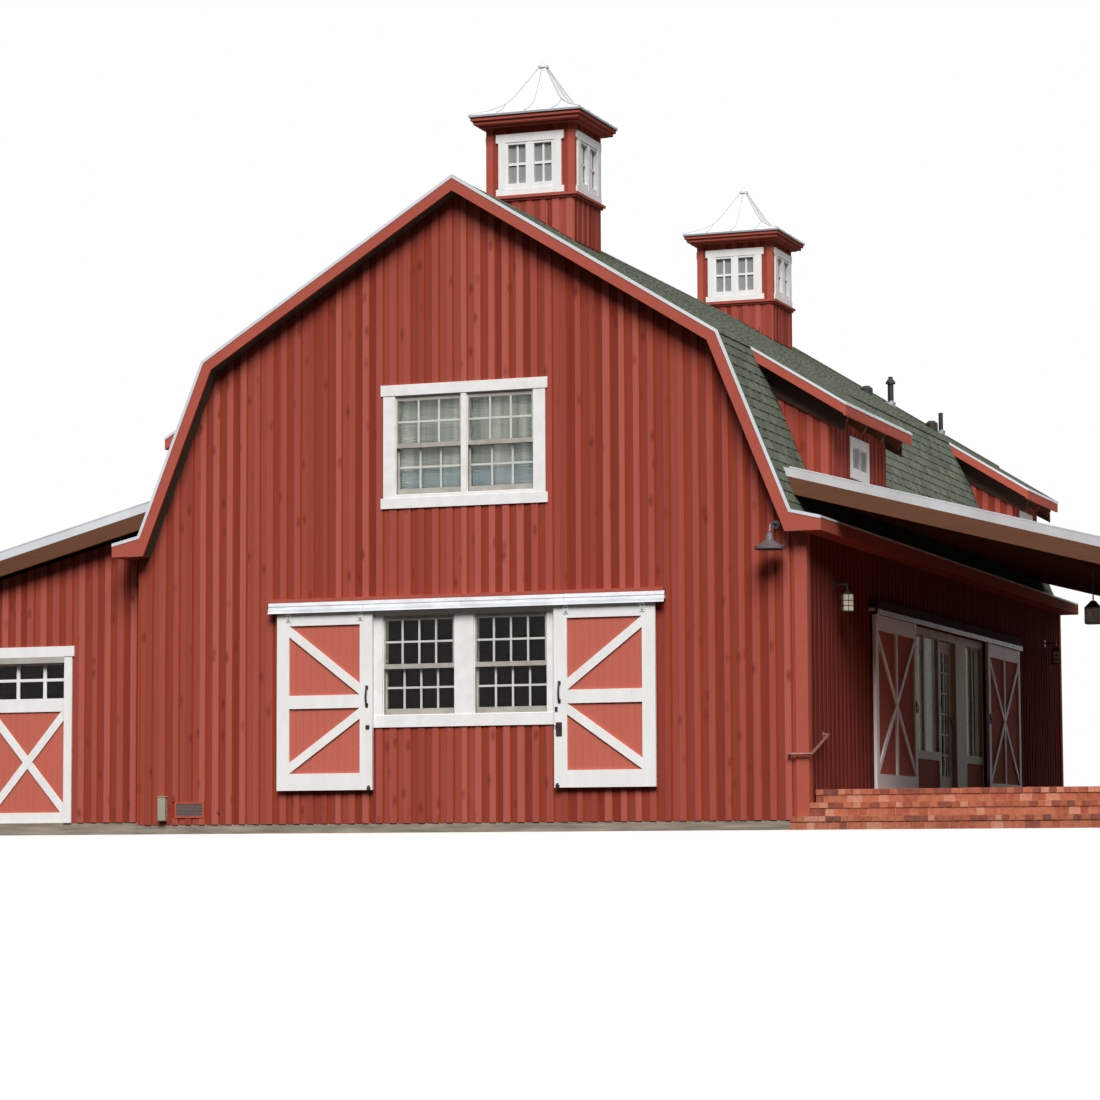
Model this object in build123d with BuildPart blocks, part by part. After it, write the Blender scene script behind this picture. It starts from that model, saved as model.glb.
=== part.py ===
from build123d import *
import os
from math import atan, cos, sin

os.makedirs("parts", exist_ok=True)

# Barn-shaped farmhouse, in millimetres, +Z up. The origin is at ground level under the middle
# of the front gable wall's outer face. +X is towards the porch and +Y towards the rear gable.

# Main block
house_width = 9144.0
house_length = 15240.0
wall = 180.0
foundation_top = 127.0
foundation_width = 300.0
ground_floor_top = 530.0
ground_floor_depth = 250.0
upper_floor_top = 3340.0
upper_floor_depth = 260.0
wall_top = 3655.0
half_width = house_width / 2
inner_half_width = half_width - wall
corner_board_width = 135.0
corner_board_thickness = 28.0

# Gambrel roof: outer surface at the ridge, the break and the flared eave
ridge_height = 8420.0
break_inset = 1022.0
break_drop = 2225.0
break_x = half_width - break_inset
break_z = ridge_height - break_drop
kick_inset = 104.0
kick_x = half_width - kick_inset
kick_z = 3920.0
eave_reach = 278.0
eave_x = half_width + eave_reach
eave_z = 3830.0
upper_slope = (ridge_height - break_z) / break_x
lower_slope = (break_z - kick_z) / (kick_x - break_x)
kick_slope = (kick_z - eave_z) / (eave_x - kick_x)
shingle_depth = 15.0
roof_depth = 150.0
kick_depth = 60.0
rake_overhang = 270.0
rake_board_depth = 170.0
rake_board_thickness = 35.0
eave_board_thickness = 35.0
soffit_thickness = 20.0
drip_edge_height = 34.0
drip_edge_thickness = 6.0

# Openings in the gable walls, placed about a line just off the ridge
gable_centre = 60.0
upper_window_half = 956.0
upper_window_bottom = 4335.0
upper_window_top = 5636.0
lower_window_post = 129.0
lower_window_width = 1000.0
lower_window_bottom = 1500.0
lower_window_top = 2800.0
casing_width = 140.0
casing_thickness = 25.0
casing_lap = 4.0
head_ear = 32.0
head_height = 137.0
sill_height = 148.0
upper_sill_height = 134.0
upper_sill_drop = 33.0
sill_thickness = 34.0
mullion_width = 67.0
upper_casing_width = 161.0
jamb = 14.0
sash_depth = 40.0
sash_recess = 5.0
lower_sash_setback = 55.0
sash_stile = 36.0
sash_top_rail = 72.0
sash_bottom_rail = 92.0
meeting_rail = 60.0
upper_meeting_height = 4981.0
lower_meeting_height = 2133.0
glass_thickness = 6.0
blind_thickness = 8.0
blind_gap = 25.0

# Front sliding doors
leaf_width = 1345.0
leaf_inner_edge = 1243.5
leaf_bottom = 555.0
leaf_top = 2845.0
leaf_panel = 20.0
leaf_frame = 45.0
leaf_standoff = 45.0
leaf_stile = 174.0
leaf_top_rail = 160.0
leaf_mid_rail = 170.0
leaf_mid_rail_bottom = 1610.0
leaf_bottom_rail = 217.0
leaf_brace = 95.0
pull_bottom = 1626.0
pull_top = 1880.0
pull_width = 22.0
pull_reach = 42.0
pull_thickness = 12.0

# Track cover over sliding doors, and the hangers that run in it
cover_bottom = 2850.0
cover_top = 2980.0
cover_strip_top = 3035.0
cover_reach = 130.0
cover_sheet = 12.0
cover_half = 2710.0
porch_cover_overrun = 40.0
bracket_width = 40.0
front_bracket_count = 7
porch_bracket_count = 9
rail_height = 40.0
rail_thickness = 10.0
rail_bottom = 2890.0
rail_gap = 8.0
roller_radius = 22.0
roller_gap = 0.3
hanger_width = 55.0
hanger_thickness = 8.0
hanger_drop = 110.0
hanger_lap = 1.0

# Doorway on the porch side: two sliding doors in front of a glazed entry
doorway_width = 4360.0
doorway_shift = 220.0
doorway_front = (house_length - doorway_width) / 2 - doorway_shift
doorway_rear = doorway_front + doorway_width
doorway_top = 2850.0
porch_leaf_width = 2190.0
porch_leaf_parting = 10.0
porch_leaf_stile = 130.0
porch_leaf_rail = 200.0
porch_leaf_brace = 85.0
entry_sill_bottom = 500.0
entry_sill_top = 555.0
entry_frame_depth = 110.0
entry_post = 95.0
entry_head = 110.0
entry_door_offset = 1680.0
entry_door_front = doorway_front + entry_door_offset
entry_door_width = 960.0
entry_door_thickness = 45.0
entry_door_gap = 7.0
entry_door_stile = 190.0
entry_blank_width = 620.0
entry_mullion = 90.0
entry_mullion_setback = 20.0
entry_side_rail_top = 1140.0
entry_side_rail_bottom = 1020.0
entry_side_foot = 60.0
entry_light_bottom = 250.0
entry_light_top = 150.0
entry_panel_thickness = 30.0
hinge_radius = 8.0
hinge_plate = 3.0
hinge_plate_width = 32.0
hinge_knuckle = 30.0
hinge_gap = 0.3
hinge_heights = (760.0, 1640.0, 2520.0)

# Porch on the right
porch_front = 280.0
porch_rear = house_length - porch_front
porch_roof_reach = 4028.0
porch_roof_edge = half_width + porch_roof_reach
porch_roof_height = 4424.0
side_roof_slope = 0.2638
metal_roof_depth = 45.0
metal_edge_depth = 105.0
metal_edge_thickness = 25.0
porch_rafter_depth = 210.0
porch_rafter_width = 60.0
porch_rafter_count = 13
porch_post_size = 190.0
porch_post_setback = 220.0
porch_post_outer = porch_roof_edge - porch_post_setback
porch_post_count = 5
porch_beam_depth = 240.0
porch_beam_width = 140.0
porch_post_inset = 80.0
porch_beam_inset = 60.0
porch_rafter_setback = 60.0
patio_top = 500.0
patio_setback = 100.0
patio_edge = porch_roof_edge - patio_setback
riser_count = 3
tread_depth = 280.0
bottom_step_lap = 142.0
bottom_step_start = half_width - bottom_step_lap

# Lean-to on the left
lean_to_width = 4267.0
lean_to_front = 300.0
lean_to_rear = house_length - lean_to_front
lean_to_roof_height = 4364.0
lean_to_eave = 300.0
lean_to_floor_top = 170.0
lean_to_floor_depth = 120.0
garage_offset = 1267.0
garage_right = half_width + garage_offset
garage_casing = 117.0
garage_width = 2438.0
garage_top = 2316.0
garage_panel = 30.0
garage_frame = 50.0
garage_stile = 150.0
garage_edge_stile = 50.0
garage_brace = 110.0
garage_recess = 60.0
garage_bottom_rail = 140.0
garage_field_top = 1664.0
garage_light_bottom = 1843.0
garage_light_top = 2300.0
garage_head_gap = 85.0

# Cupolas
cupola_half_x = 636.0
cupola_half_y = 530.0
cupola_front_inset = 3140.0
cupola_rear_inset = 2640.0
cupola_centres = (cupola_front_inset, house_length - cupola_rear_inset)
cupola_wall = 90.0
cupola_ledge_height = 65.0
cupola_ledge_bottom = ridge_height + 205.0
cupola_ledge_top = cupola_ledge_bottom + cupola_ledge_height
cupola_ledge_reach = 60.0
cupola_ledge_cove = 32.0
cupola_ledge_cove_height = 30.0
cupola_top = cupola_ledge_top + 965.0
cupola_window_half = 375.0
cupola_window_bottom = cupola_ledge_top + 100.0
cupola_window_height = 672.0
cupola_window_top = cupola_window_bottom + cupola_window_height
cupola_casing = 83.0
cupola_head_height = 90.0
cupola_head_ear = 36.0
cupola_frame_depth = 60.0
cupola_light_stile = 58.0
cupola_light_post = 60.0
cupola_light_foot = 72.0
cornice_heights = (60.0, 75.0)
cornice_reaches = (85.0, 125.0)
cupola_roof_reach_x = 175.0
cupola_roof_reach_y = 240.0
cupola_roof_profile = ((0.0, 1.0), (25.0, 1.0), (110.0, 0.725), (195.0, 0.55),
                       (280.0, 0.445), (390.0, 0.35), (780.0, 0.06))
finial_height = 100.0
finial_cap = 75.0
finial_cap_height = 28.0
finial_foot = 34.0
finial_point = 15.0

# Shed dormers on both sides of the roof
dormer_wall_inset = 72.0
dormer_wall_x = half_width - dormer_wall_inset
dormer_eave = 300.0
dormer_eave_x = dormer_wall_x + dormer_eave
front_dormer_y = (1440.0, 4264.0)
rear_dormer_insets = (3014.0, 1313.0)
rear_dormer_y = (house_length - rear_dormer_insets[0], house_length - rear_dormer_insets[1])
dormer_cheeks = (front_dormer_y, rear_dormer_y)
dormer_rake = 290.0
dormer_wall = 110.0
dormer_roof_depth = 100.0
dormer_wall_top = ridge_height - upper_slope * dormer_wall_x - dormer_roof_depth
dormer_fascia_depth = 165.0
dormer_fascia_thickness = 32.0
dormer_window_drop = 450.0
dormer_window_height = 360.0
dormer_window_top = dormer_wall_top - dormer_window_drop
dormer_window_bottom = dormer_window_top - dormer_window_height
dormer_sill_gap = 90.0
dormer_sill = dormer_window_bottom - dormer_sill_gap
dormer_window_half = 375.0
dormer_casing = 100.0
dormer_head_height = 85.0
dormer_frame_depth = 60.0
dormer_light_edge = 40.0
dormer_light_post = 20.0
rafter_tail_width = 60.0
rafter_tail_depth = 200.0
rafter_tail_nose = 110.0
rafter_tail_cut = 60.0
rafter_tail_spacing = 900.0
rafter_tail_reach = 245.0

# Roof vents: x, distance from the rear wall's face, height above the roof, and radius
vent_pipes = ((1955.0, 740.0, 370.0, 50.0), (2709.0, 340.0, 365.0, 38.0))
round_vents = ((1698.0, 1340.0, 110.0, 105.0), (2574.0, 440.0, 140.0, 105.0))
round_vent_crown = 45.0
round_vent_top = 55.0
vent_cap_brim = 82.0
vent_cap_brim_height = 30.0
vent_cap_cone = 60.0
vent_cap_top = 38.0

# Fittings: lamp, rail, lanterns and wall boxes
lamp_inset = 362.0
lamp_x = half_width - lamp_inset
lamp_reach = 300.0
lamp_rim = 3435.0
lamp_radius = 188.0
lamp_shell = 8.0
lamp_lip = 30.0
lamp_neck_radius = 60.0
lamp_neck_bottom = 85.0
lamp_neck_top = 110.0
lamp_cap_radius = 45.0
lamp_cap_top = 200.0
lamp_core_bottom = 100.0
lamp_arm_top = 3765.0
lamp_arm_bend = 110.0
lamp_arm_ease = 32.0
lamp_arm_radius = 14.0
lamp_plate_radius = 55.0
lamp_plate_thickness = 22.0
rail_height_low = 930.0
rail_rise = 260.0
rail_start_inset = 212.0
rail_start_x = half_width - rail_start_inset
rail_end_y = 700.0
rail_standoff = 75.0
rail_radius = 17.0
rail_flange_radius = 38.0
rail_flange_thickness = 12.0
lantern_setback = 770.0
lantern_x = porch_roof_edge - lantern_setback
lantern_rafters = (1, 6, 11)
lantern_half = 95.0
lantern_bottom = 2530.0
lantern_glass_top = 2730.0
lantern_cap_top = 2820.0
lantern_cap_angle = 38.0
lantern_plate = 16.0
lantern_bar = 14.0
lantern_rod_radius = 9.0
wall_lantern_insets = (1250.0, 1200.0)
wall_lantern_half = 57.0
wall_lantern_reach = 190.0
wall_lantern_turn = 30.0
wall_lantern_z = (2760.0, 2975.0)
wall_lantern_cap_top = 3040.0
wall_arm_z = (3090.0, 3112.0)
wall_arm_width = 20.0
wall_plate_half = 40.0
meter_box_insets = (328.0, 428.0)
meter_box_z = (180.0, 500.0)
meter_box_depth = 80.0
wall_vent_insets = (572.0, 942.0)
wall_vent_z = (245.0, 400.0)
wall_vent_depth = 14.0
round_sides = 8


upright = (Align.CENTER, Align.CENTER, Align.MIN)


def block(x, y, z, mode=Mode.ADD):
    """A plain board or plate between pairs of coordinates."""
    centre = ((x[0] + x[1]) / 2, (y[0] + y[1]) / 2, (z[0] + z[1]) / 2)
    with Locations(centre):
        Box(abs(x[1] - x[0]), abs(y[1] - y[0]), abs(z[1] - z[0]), mode=mode)


def section(points, y, mode=Mode.ADD):
    """A profile of (x, z) points carried along Y."""
    with BuildSketch(Plane.XZ.offset(-y[1])) as profile:
        with BuildLine():
            Polyline(*points, close=True)
        make_face()
    extrude(profile.sketch, amount=y[1] - y[0], mode=mode)


def side_section(points, x, mode=Mode.ADD):
    """A profile of (y, z) points carried along X."""
    with BuildSketch(Plane.YZ.offset(x[0])) as profile:
        with BuildLine():
            Polyline(*points, close=True)
        make_face()
    extrude(profile.sketch, amount=x[1] - x[0], mode=mode)


def mirrored(points):
    """The same (x, z) points on the left of the house."""
    return [(-x, z) for x, z in points]


def save(builder, name):
    builder.part.label = name
    export_step(builder.part, f"parts/{name}.step")


# Roof lines. Each takes the depth below the outer surface, measured square to the roof.


def ridge_at(depth):
    return ridge_height - depth / cos(atan(upper_slope))


def lower_x(z, depth=0.0):
    return break_x + (break_z - z) / lower_slope - depth / sin(atan(lower_slope))


def break_at(depth):
    x = (lower_slope * lower_x(0, depth) - ridge_at(depth)) / (lower_slope - upper_slope)
    return (x, ridge_at(depth) - upper_slope * x)


def kick_at(depth):
    base = kick_z + kick_slope * kick_x - depth / cos(atan(kick_slope))
    x = (lower_slope * lower_x(0, depth) - base) / (lower_slope - kick_slope)
    return (x, base - kick_slope * x)


def eave_at(depth, x=eave_x):
    return (x, kick_z - kick_slope * (x - kick_x) - depth / cos(atan(kick_slope)))


def roof_line(depth):
    """Right half of the roof's outline at a depth, from the ridge to the eave."""
    return [(0, ridge_at(depth)), break_at(depth), kick_at(depth), eave_at(depth)]


def both_sides(right):
    """A line from the ridge down the right side, continued from the left eave."""
    return mirrored(right[:0:-1]) + right


# Foundation and floors
lean_to_x = half_width + lean_to_width

with BuildPart() as foundation:
    block((-half_width, half_width), (0, house_length), (0, foundation_top))
    block((-lean_to_x, -half_width), (lean_to_front, lean_to_rear), (0, lean_to_floor_top))
    block((-half_width + foundation_width, half_width - foundation_width),
          (foundation_width, house_length - foundation_width), (0, foundation_top), Mode.SUBTRACT)
    block((-lean_to_x + foundation_width, -half_width),
          (lean_to_front + foundation_width, lean_to_rear - foundation_width),
          (0, lean_to_floor_top), Mode.SUBTRACT)
    block((inner_half_width, half_width), (doorway_front, doorway_rear),
          (foundation_top, entry_sill_bottom))
save(foundation, "foundation")

with BuildPart() as ground_floor:
    block((-inner_half_width, inner_half_width), (wall, house_length - wall),
          (ground_floor_top - ground_floor_depth, ground_floor_top))
    block((-lean_to_x + foundation_width, -half_width),
          (lean_to_front + foundation_width, lean_to_rear - foundation_width),
          (lean_to_floor_top - lean_to_floor_depth, lean_to_floor_top))
save(ground_floor, "ground_floor")

with BuildPart() as upper_floor:
    block((-inner_half_width, inner_half_width), (wall, house_length - wall),
          (upper_floor_top - upper_floor_depth, upper_floor_top))
save(upper_floor, "upper_floor")

# Gable walls: a gambrel outline under the roof, with the window openings cut through
lower_windows = [(gable_centre - lower_window_post - lower_window_width, gable_centre - lower_window_post),
                 (gable_centre + lower_window_post, gable_centre + lower_window_post + lower_window_width)]
upper_window = (gable_centre - upper_window_half, gable_centre + upper_window_half)
gable_right = [(half_width, foundation_top), (half_width, wall_top),
               (lower_x(wall_top, roof_depth), wall_top), break_at(roof_depth)]
gable_outline = gable_right + [(0, ridge_at(roof_depth))] + mirrored(gable_right)[::-1]
gables = {"front_wall": (0, wall), "rear_wall": (house_length - wall, house_length)}
for name, span in gables.items():
    with BuildPart() as gable:
        section(gable_outline, span)
        block(upper_window, span, (upper_window_bottom, upper_window_top), Mode.SUBTRACT)
        for window in lower_windows:
            block(window, span, (lower_window_bottom, lower_window_top), Mode.SUBTRACT)
    save(gable, name)

# Side walls between the gables. The right one is split round the doorway.
side_wall_y = (wall, house_length - wall)
side_walls = {
    "left_wall": ((-half_width, -inner_half_width), side_wall_y, (foundation_top, wall_top)),
    "right_wall_front": ((inner_half_width, half_width), (wall, doorway_front), (foundation_top, wall_top)),
    "right_wall_rear": ((inner_half_width, half_width), (doorway_rear, side_wall_y[1]),
                        (foundation_top, wall_top)),
    "right_wall_header": ((inner_half_width, half_width), (doorway_front, doorway_rear),
                          (doorway_top, wall_top)),
}
for name, (x, y, z) in side_walls.items():
    with BuildPart() as side_wall:
        block(x, y, z)
    save(side_wall, name)

# Corner boards wrap each corner of the main block
with BuildPart() as corner_boards:
    out = half_width + corner_board_thickness
    for front in (True, False):
        face = -corner_board_thickness if front else house_length + corner_board_thickness
        back = corner_board_width if front else house_length - corner_board_width
        gable_face = 0 if front else house_length
        for side in (-1, 1):
            block((side * (half_width - corner_board_width), side * out), (face, gable_face),
                  (foundation_top, wall_top))
            if side == 1:
                block((half_width, out), (gable_face, back), (foundation_top, wall_top))
save(corner_boards, "corner_boards")

# Roof slabs, face to face along the ridge and the break
roof_y = (-rake_overhang + rake_board_thickness, house_length + rake_overhang - rake_board_thickness)
upper_slab = [(0, ridge_at(shingle_depth)), break_at(shingle_depth), break_at(roof_depth),
              (0, ridge_at(roof_depth))]
slab_end = eave_x - eave_board_thickness
lower_slab = [break_at(shingle_depth), kick_at(shingle_depth), eave_at(shingle_depth, slab_end),
              eave_at(shingle_depth + kick_depth, slab_end), eave_at(shingle_depth + kick_depth, half_width),
              (half_width, wall_top), (lower_x(wall_top, roof_depth), wall_top), break_at(roof_depth)]
for name, side in {"left": mirrored, "right": list}.items():
    with BuildPart() as upper_roof:
        section(side(upper_slab), roof_y)
    save(upper_roof, f"roof_{name}_upper")
    reach = (0, dormer_wall_x - dormer_wall) if name == "right" else (-dormer_wall_x + dormer_wall, 0)
    with BuildPart() as lower_roof:
        section(side(lower_slab), roof_y)
        for cheek in dormer_cheeks:
            block(reach, (cheek[0] + dormer_wall, cheek[1] - dormer_wall), (dormer_sill, break_z), Mode.SUBTRACT)
    save(lower_roof, f"roof_{name}_lower")

# Boards along the gables, with the boxed flare at the eave
rake_inner = [(0, ridge_at(rake_board_depth)), break_at(rake_board_depth),
              (lower_x(wall_top, rake_board_depth), wall_top), (eave_x, wall_top)]
rake_outline = both_sides(roof_line(0)) + both_sides(rake_inner)[::-1]
front_face = -rake_overhang
rear_face = house_length + rake_overhang
with BuildPart() as rake_boards:
    section(rake_outline, (front_face, front_face + rake_board_thickness))
    section(rake_outline, (rear_face - rake_board_thickness, rear_face))
save(rake_boards, "rake_boards")

with BuildPart() as drip_edges:
    strip = both_sides(roof_line(-drip_edge_thickness)) + both_sides(roof_line(drip_edge_height))[::-1]
    section(strip, (front_face - drip_edge_thickness, front_face))
    section(strip, (rear_face, rear_face + drip_edge_thickness))
save(drip_edges, "drip_edges")

with BuildPart() as eave_boards:
    for side in (-1, 1):
        block((side * slab_end, side * eave_x), roof_y, (wall_top, eave_at(0)[1]))
save(eave_boards, "eave_boards")

with BuildPart() as eave_soffits:
    soffit_z = (wall_top, wall_top + soffit_thickness)
    for side in (-1, 1):
        block((side * half_width, side * slab_end), roof_y, soffit_z)
save(eave_soffits, "eave_soffits")


# Windows: a casing on the wall face and sashes set into the opening


def sash_lights(x, z, meeting):
    """The two glazed openings, one over the other, of a sliding-sash unit."""
    span = (x[0] + sash_stile, x[1] - sash_stile)
    return [(span, (z[0] + sash_bottom_rail, meeting - meeting_rail / 2), lower_sash_setback),
            (span, (meeting + meeting_rail / 2, z[1] - sash_top_rail), 0)]


gable_faces = ((0.0, 1), (house_length, -1))
mullion = (gable_centre - mullion_width / 2, gable_centre + mullion_width / 2)
upper_units = [(upper_window[0], mullion[0]), (mullion[1], upper_window[1])]
upper_z = (upper_window_bottom, upper_window_top)
lower_z = (lower_window_bottom, lower_window_top)
gable_units = ([(unit, upper_z, upper_meeting_height) for unit in upper_units]
               + [(unit, lower_z, lower_meeting_height) for unit in lower_windows])
frame_depth = sash_recess + lower_sash_setback + sash_depth


def gable_sashes(unit, z, meeting, face, inward):
    """One unit: a frame with the upper sash near the wall face and the lower sash set back behind it."""
    block(unit, (face, face + inward * frame_depth), z)
    within = (unit[0] + jamb, unit[1] - jamb)
    block(within, (face, face + inward * sash_recess), (z[0] + jamb, z[1] - jamb), Mode.SUBTRACT)
    block(within, (face, face + inward * (sash_recess + lower_sash_setback)),
          (z[0] + jamb, meeting - meeting_rail / 2), Mode.SUBTRACT)
    for x, light_z, _ in sash_lights(unit, z, meeting):
        block(x, (face, face + inward * frame_depth), light_z, Mode.SUBTRACT)


with BuildPart() as upper_windows:
    for face, inward in gable_faces:
        proud = (face - inward * casing_thickness, face)
        eared = (face - inward * sill_thickness, face)
        sides = (upper_window[0] - upper_casing_width, upper_window[1] + upper_casing_width)
        block((sides[0], upper_window[0] + casing_lap), proud, upper_z)
        block((upper_window[1] - casing_lap, sides[1]), proud, upper_z)
        block((mullion[0] - casing_lap, mullion[1] + casing_lap), proud, upper_z)
        block(mullion, (face, face + inward * frame_depth), upper_z)
        block(sides, proud, (upper_z[0] - upper_sill_drop, upper_z[0] + casing_lap))
        sill_top = upper_z[0] - upper_sill_drop
        block((sides[0] - head_ear, sides[1] + head_ear), eared,
              (upper_z[1] - casing_lap, upper_z[1] + head_height))
        block((sides[0] - head_ear, sides[1] + head_ear), eared, (sill_top - upper_sill_height, sill_top))
        for unit in upper_units:
            gable_sashes(unit, upper_z, upper_meeting_height, face, inward)
save(upper_windows, "upper_windows")

with BuildPart() as lower_frames:
    for face, inward in gable_faces:
        proud = (face - inward * casing_thickness, face)
        eared = (face - inward * sill_thickness, face)
        sides = (lower_windows[0][0] - casing_width, lower_windows[1][1] + casing_width)
        block((sides[0], lower_windows[0][0] + casing_lap), proud, lower_z)
        block((lower_windows[1][1] - casing_lap, sides[1]), proud, lower_z)
        block((lower_windows[0][1] - casing_lap, lower_windows[1][0] + casing_lap), proud, lower_z)
        block(sides, proud, (lower_z[1] - casing_lap, cover_bottom))
        block(sides, eared, (lower_z[0] - sill_height, lower_z[0] + casing_lap))
        for unit in lower_windows:
            gable_sashes(unit, lower_z, lower_meeting_height, face, inward)
save(lower_frames, "lower_windows")

# Pleated blinds hung behind the upper windows
with BuildPart() as upper_blinds:
    for face, inward in gable_faces:
        near = face + inward * (frame_depth + blind_gap)
        for unit in upper_units:
            block(unit, (near, near + inward * blind_thickness), upper_z)
save(upper_blinds, "upper_blinds")


# Front sliding doors. Each leaf is a boarded panel in a proud frame with one brace to a field.


def brace(start, end, width, y):
    """A board between two (x, z) points, its ends cut upright."""
    rise = end[1] - start[1]
    run = abs(end[0] - start[0])
    half = width / 2 * (run ** 2 + rise ** 2) ** 0.5 / run
    section([(start[0], start[1] - half), (end[0], end[1] - half), (end[0], end[1] + half),
             (start[0], start[1] + half)], y)


leaf_z = (leaf_bottom, leaf_top)
leaf_y = (-leaf_standoff - leaf_frame, -leaf_standoff)
panel_y = (-leaf_standoff - leaf_panel, -leaf_standoff)
rail_middle = leaf_standoff + leaf_frame / 2
rail_y = (-rail_middle - rail_thickness / 2, -rail_middle + rail_thickness / 2)
rail_top = rail_bottom + rail_height
upper_field = (leaf_mid_rail_bottom + leaf_mid_rail, leaf_top - leaf_top_rail)
lower_field = (leaf_bottom + leaf_bottom_rail, leaf_mid_rail_bottom)
for name, side in {"left": -1, "right": 1}.items():
    inner = gable_centre + side * leaf_inner_edge
    outer = inner + side * leaf_width
    inner_field = inner + side * leaf_stile
    outer_field = outer - side * leaf_stile
    with BuildPart() as leaf:
        block((inner, outer), leaf_y, leaf_z)
        for field in (upper_field, lower_field):
            block((inner_field, outer_field), (leaf_y[0], panel_y[0]), field, Mode.SUBTRACT)
        brace((outer_field, upper_field[1] - leaf_brace), (inner_field, upper_field[0] + leaf_brace),
              leaf_brace, (leaf_y[0], panel_y[0]))
        brace((inner_field, lower_field[1] - leaf_brace), (outer_field, lower_field[0] + leaf_brace),
              leaf_brace, (leaf_y[0], panel_y[0]))
        for hanger in (inner + side * leaf_stile / 2, outer - side * leaf_stile / 2):
            strap = (hanger - hanger_width / 2, hanger + hanger_width / 2)
            strap_y = (rail_y[0] - rail_gap - hanger_thickness, rail_y[0] - rail_gap)
            block(strap, strap_y, (leaf_top - hanger_lap, rail_top + roller_gap + 2 * roller_radius))
            block(strap, (leaf_y[0] - hanger_thickness, leaf_y[0]), (leaf_top - hanger_drop, leaf_top))
            block(strap, (leaf_y[0] - hanger_thickness, strap_y[1]), (leaf_top, leaf_top + hanger_thickness))
            with Locations(Plane(origin=(hanger, strap_y[1], rail_top + roller_gap + roller_radius),
                                 z_dir=(0, 1, 0))):
                Cylinder(roller_radius, rail_y[1] - strap_y[1], align=upright)
        pull_middle = inner + side * leaf_stile / 2
        pull_x = (pull_middle - pull_width / 2, pull_middle + pull_width / 2)
        pull_face = leaf_y[0] - pull_reach
        block(pull_x, (pull_face, pull_face + pull_thickness), (pull_bottom, pull_top))
        block(pull_x, (pull_face, leaf_y[0]), (pull_bottom, pull_bottom + pull_width))
        block(pull_x, (pull_face, leaf_y[0]), (pull_top - pull_width, pull_top))
    save(leaf, f"front_{name}_sliding_door")

with BuildPart() as front_track:
    cover_x = (gable_centre - cover_half, gable_centre + cover_half)
    block(cover_x, (-cover_reach, 0), (cover_top, cover_strip_top))
    block(cover_x, (-cover_reach, -cover_reach + cover_sheet), (cover_bottom, cover_top))
    block(cover_x, rail_y, (rail_bottom, rail_top))
    pitch = (2 * cover_half - bracket_width) / (front_bracket_count - 1)
    for bracket in range(front_bracket_count):
        x = cover_x[0] + bracket * pitch
        block((x, x + bracket_width), (rail_y[1], 0), (rail_bottom, rail_top))
save(front_track, "front_door_track")

# Porch sliding doors, on the right wall, shown pushed open beside the entry
porch_face = half_width + leaf_standoff
porch_leaf_x = (porch_face, porch_face + leaf_frame)
porch_panel_x = (porch_face, porch_face + leaf_panel)
porch_rail_middle = porch_face + leaf_frame / 2
porch_rail_x = (porch_rail_middle - rail_thickness / 2, porch_rail_middle + rail_thickness / 2)
porch_leaves = {"front": doorway_front - porch_leaf_width - porch_leaf_parting,
                "rear": doorway_rear + porch_leaf_parting}


def side_brace(start, end, width, x):
    """A board between two (y, z) points, its ends cut upright."""
    rise = end[1] - start[1]
    run = abs(end[0] - start[0])
    half = width / 2 * (run ** 2 + rise ** 2) ** 0.5 / run
    side_section([(start[0], start[1] - half), (end[0], end[1] - half), (end[0], end[1] + half),
                  (start[0], start[1] + half)], x)


for name, start in porch_leaves.items():
    end = start + porch_leaf_width
    field_y = (start + porch_leaf_stile, end - porch_leaf_stile)
    field_z = (leaf_bottom + porch_leaf_rail, leaf_top - porch_leaf_rail)
    proud = (porch_panel_x[1], porch_leaf_x[1])
    with BuildPart() as leaf:
        block(porch_leaf_x, (start, end), leaf_z)
        block(proud, field_y, field_z, Mode.SUBTRACT)
        middle = (start + end) / 2
        block(proud, (middle - porch_leaf_brace / 2, middle + porch_leaf_brace / 2), field_z)
        side_brace((field_y[0], field_z[0] + porch_leaf_brace), (field_y[1], field_z[1] - porch_leaf_brace),
                   porch_leaf_brace, proud)
        side_brace((field_y[0], field_z[1] - porch_leaf_brace), (field_y[1], field_z[0] + porch_leaf_brace),
                   porch_leaf_brace, proud)
        for hanger in (start + porch_leaf_stile, end - porch_leaf_stile):
            strap = (hanger - hanger_width / 2, hanger + hanger_width / 2)
            strap_x = (porch_rail_x[1] + rail_gap, porch_rail_x[1] + rail_gap + hanger_thickness)
            block(strap_x, strap, (leaf_top - hanger_lap, rail_top + roller_gap + 2 * roller_radius))
            plate_x = (porch_leaf_x[1], porch_leaf_x[1] + hanger_thickness)
            block(plate_x, strap, (leaf_top - hanger_drop, leaf_top))
            block((strap_x[0], plate_x[1]), strap, (leaf_top, leaf_top + hanger_thickness))
            with Locations(Plane(origin=(strap_x[0], hanger, rail_top + roller_gap + roller_radius),
                                 z_dir=(-1, 0, 0))):
                Cylinder(roller_radius, strap_x[0] - porch_rail_x[0],
                         align=upright)
    save(leaf, f"porch_{name}_sliding_door")

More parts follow.
